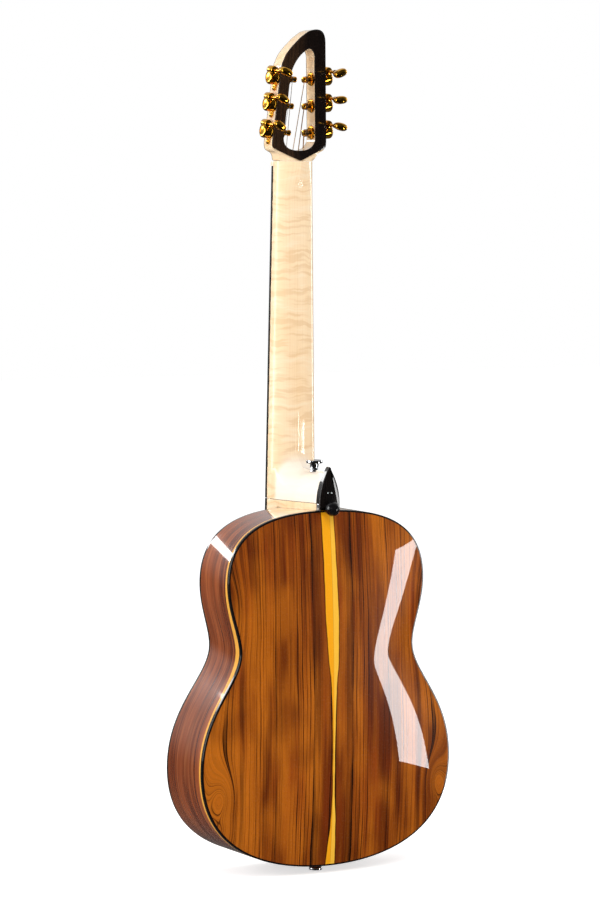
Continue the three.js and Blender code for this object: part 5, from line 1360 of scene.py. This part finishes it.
def machine_parts(rail):
    """Grids of one machine, in its own directions: its fixed housing, and its turning post."""
    brim, length, barrel = drum_radius + 0.9, drum_length, worm_barrel_radius
    dome = [(0.0, 0.3), (brim, 0.3), (brim, 1.2), (drum_radius + 0.5, 1.7), (drum_radius, 2.0),
            (drum_radius, length - 2.6), (drum_radius * 0.97, length - 1.5),
            (drum_radius * 0.88, length - 0.6), (drum_radius * 0.7, length),
            (drum_radius * 0.62, length - 0.1), (drum_radius * 0.58, length - 0.5),
            (drum_radius * 0.3, length - 0.4), (0.0, length - 0.25)]
    end = [(0.0, worm_barrel_half), (barrel * 0.7, worm_barrel_half), (barrel * 0.92, worm_barrel_half - 0.5),
           (barrel, worm_barrel_half - 1.3)]
    worm = [(radius, -height) for radius, height in end] + end[::-1]
    strap = rounded_rectangle(-lug_half_width, lug_half_width, -lug_reach, -drum_radius * 0.6,
                              lug_half_width * 0.9)
    strap = slab(strap, eased(0.3, 0.3 + lug_thickness, 0.35))[..., [1, 0, 2]]
    screw = [(0.0, 0.3 + lug_thickness), (lug_screw_radius, 0.3 + lug_thickness),
             (lug_screw_radius * 0.92, lug_thickness + 0.8), (lug_screw_radius * 0.5, lug_thickness + 1.2),
             (0.0, lug_thickness + 1.25)]
    screw_place = (0, 0, -lug_reach + lug_screw_radius + 0.6)
    face, bore = -rail - glue_lap, post_radius + 0.3
    sleeve = [(bore, face), (sleeve_radius, face), (sleeve_radius, 1.5), (bore, 1.5)]
    hex_face, hex_bore = face - hex_thickness, post_radius + 0.35
    hex_nut = [(hex_bore, face), (hex_radius, face), (hex_radius, hex_face + 0.5),
               (hex_radius * 0.88, hex_face), (hex_bore, hex_face)]
    rim, hole = hex_radius * 1.08, post_radius + 0.4
    washer = [(hole, face), (rim, face), (rim, face - 0.5), (hole, face - 0.5)]
    tip, waist = -rail - post_reach, post_radius * 0.84
    post = [(0.0, tip), (post_radius * 0.6, tip), (post_radius * 0.95, tip + 0.4), (post_radius, tip + 0.9),
            (post_radius, tip + post_reach * 0.26), (waist, tip + post_reach * 0.34),
            (waist, tip + post_reach * 0.56), (post_radius, tip + post_reach * 0.64), (post_radius, 5.0),
            (0.0, 5.0)]
    housing = [lathe(dome, "x", count=40), lathe(worm, "y", (wheel_middle, 0, key_offset), 28), strap,
               lathe(screw, "x", screw_place, 18), lathe(sleeve, "x", count=28), lathe(hex_nut, "x", count=6),
               lathe(washer, "x", count=28)]
    return housing, lathe(post, "x", count=24)


gold = metal_finish("gold plate", gold_bright, gold_deep, 0.08)
collar, ferrule = key_shaft_radius * 1.35, key_shaft_radius * 1.5
button_foot = key_end - button_length
stem_profile = [(0.0, 0.0), (key_shaft_radius, 0.0), (key_shaft_radius, worm_barrel_half + 0.2),
                (collar, worm_barrel_half + 0.5), (collar, worm_barrel_half + 1.4),
                (key_shaft_radius, worm_barrel_half + 1.8), (key_shaft_radius, button_foot - 1.6),
                (ferrule, button_foot - 0.6), (key_shaft_radius * 1.6, button_foot + 0.8),
                (0.0, button_foot + 0.8)]
for side, side_name in ((1, "treble"), (-1, "bass")):
    for i in range(3):
        z = headstock_bottom + tuner_first + i * tuner_pitch
        housing, post = machine_parts(rail_width(z))
        label = f"{side_name}_{i + 1}"
        stem = lathe(stem_profile, "y", (wheel_middle, 0, key_offset), 20)
        key = [stem, button_grid(radians(key_turns[side][i]))]
        for piece_name, grids, body in (("tuner_housing_" + label, housing, "neck"),
                                        ("tuner_post_" + label, [post], "post_" + label),
                                        ("tuner_key_" + label, key, "key_" + label)):
            piece = surface(piece_name, [placed(grid, side, z) for grid in grids], gold, body, [piece_name])


# Strings: three plain steel and three wound with bronze, from the bridge over the saddle and the nut to the
# posts, each with a few turns on its post.
string_radii = (0.15, 0.21, 0.33, 0.43, 0.53, 0.66)
post_turns = 3


def tube(path, radius, sides=10):
    """A round string along a path: at each point a ring square to the way of the path."""
    path = np.array(path, float)
    way = np.gradient(path, axis=0)
    way /= np.linalg.norm(way, axis=1)[:, None]
    across = np.cross(way, [0.31, 0.9, 0.29])
    across /= np.linalg.norm(across, axis=1)[:, None]
    beside = np.cross(way, across)
    turn = np.linspace(0, 2 * pi, sides, endpoint=False)[None, :, None]
    return path[:, None] + radius * (np.cos(turn) * across[:, None] + np.sin(turn) * beside[:, None])


wound = metal_finish("wound bronze", (196, 164, 126), (128, 104, 84), 0.3, 0.7)
plain = metal_finish("plain steel", (196, 198, 202), (140, 142, 146), 0.22)
for i, radius in enumerate(string_radii):
    side, rank = (1, i) if i < 3 else (-1, 5 - i)
    post_z = headstock_bottom + tuner_first + rank * tuner_pitch
    at_saddle, at_nut = (0.5 - i / 5) * string_spread_saddle, (0.5 - i / 5) * string_spread_nut
    nut_top = board_face - nut_rise - 0.7 + radius * 0.2
    start = -rail_width(post_z) - post_reach * 0.42
    angle = np.linspace(pi, pi + 2 * pi * post_turns, 20 * post_turns)
    lay = post_radius * 0.86 + radius
    away = start - np.linspace(0, 2.2 * radius * post_turns, len(angle))
    coil = np.stack([away, lay * np.cos(angle - pi / 2), lay * np.sin(angle - pi / 2)], axis=1)[::-1]
    coil = placed(coil, side, post_z)
    anchor = (at_saddle, pin_front + 1.5, pin_height)
    marks = [anchor, (at_saddle, pin_front - 0.8, pin_height + 2.5),
             (at_saddle, saddle_crest - 0.6, saddle_height), (at_nut, nut_top, nut_height + 0.6),
             (at_nut, nut_top + 0.3, nut_height + nut_thickness), coil[0] + (0, -0.2, 0)]
    spans = zip(marks, marks[1:], (4, 6, 160, 4, 20))
    runs = [np.linspace(low, high, count, endpoint=False) for low, high, count in spans]
    path = np.concatenate(runs + [coil])
    piece = surface(f"string_{i + 1}", tube(path, radius), plain if i < 3 else wound, None,
                    [f"string_{i + 1}"])
    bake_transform(piece)
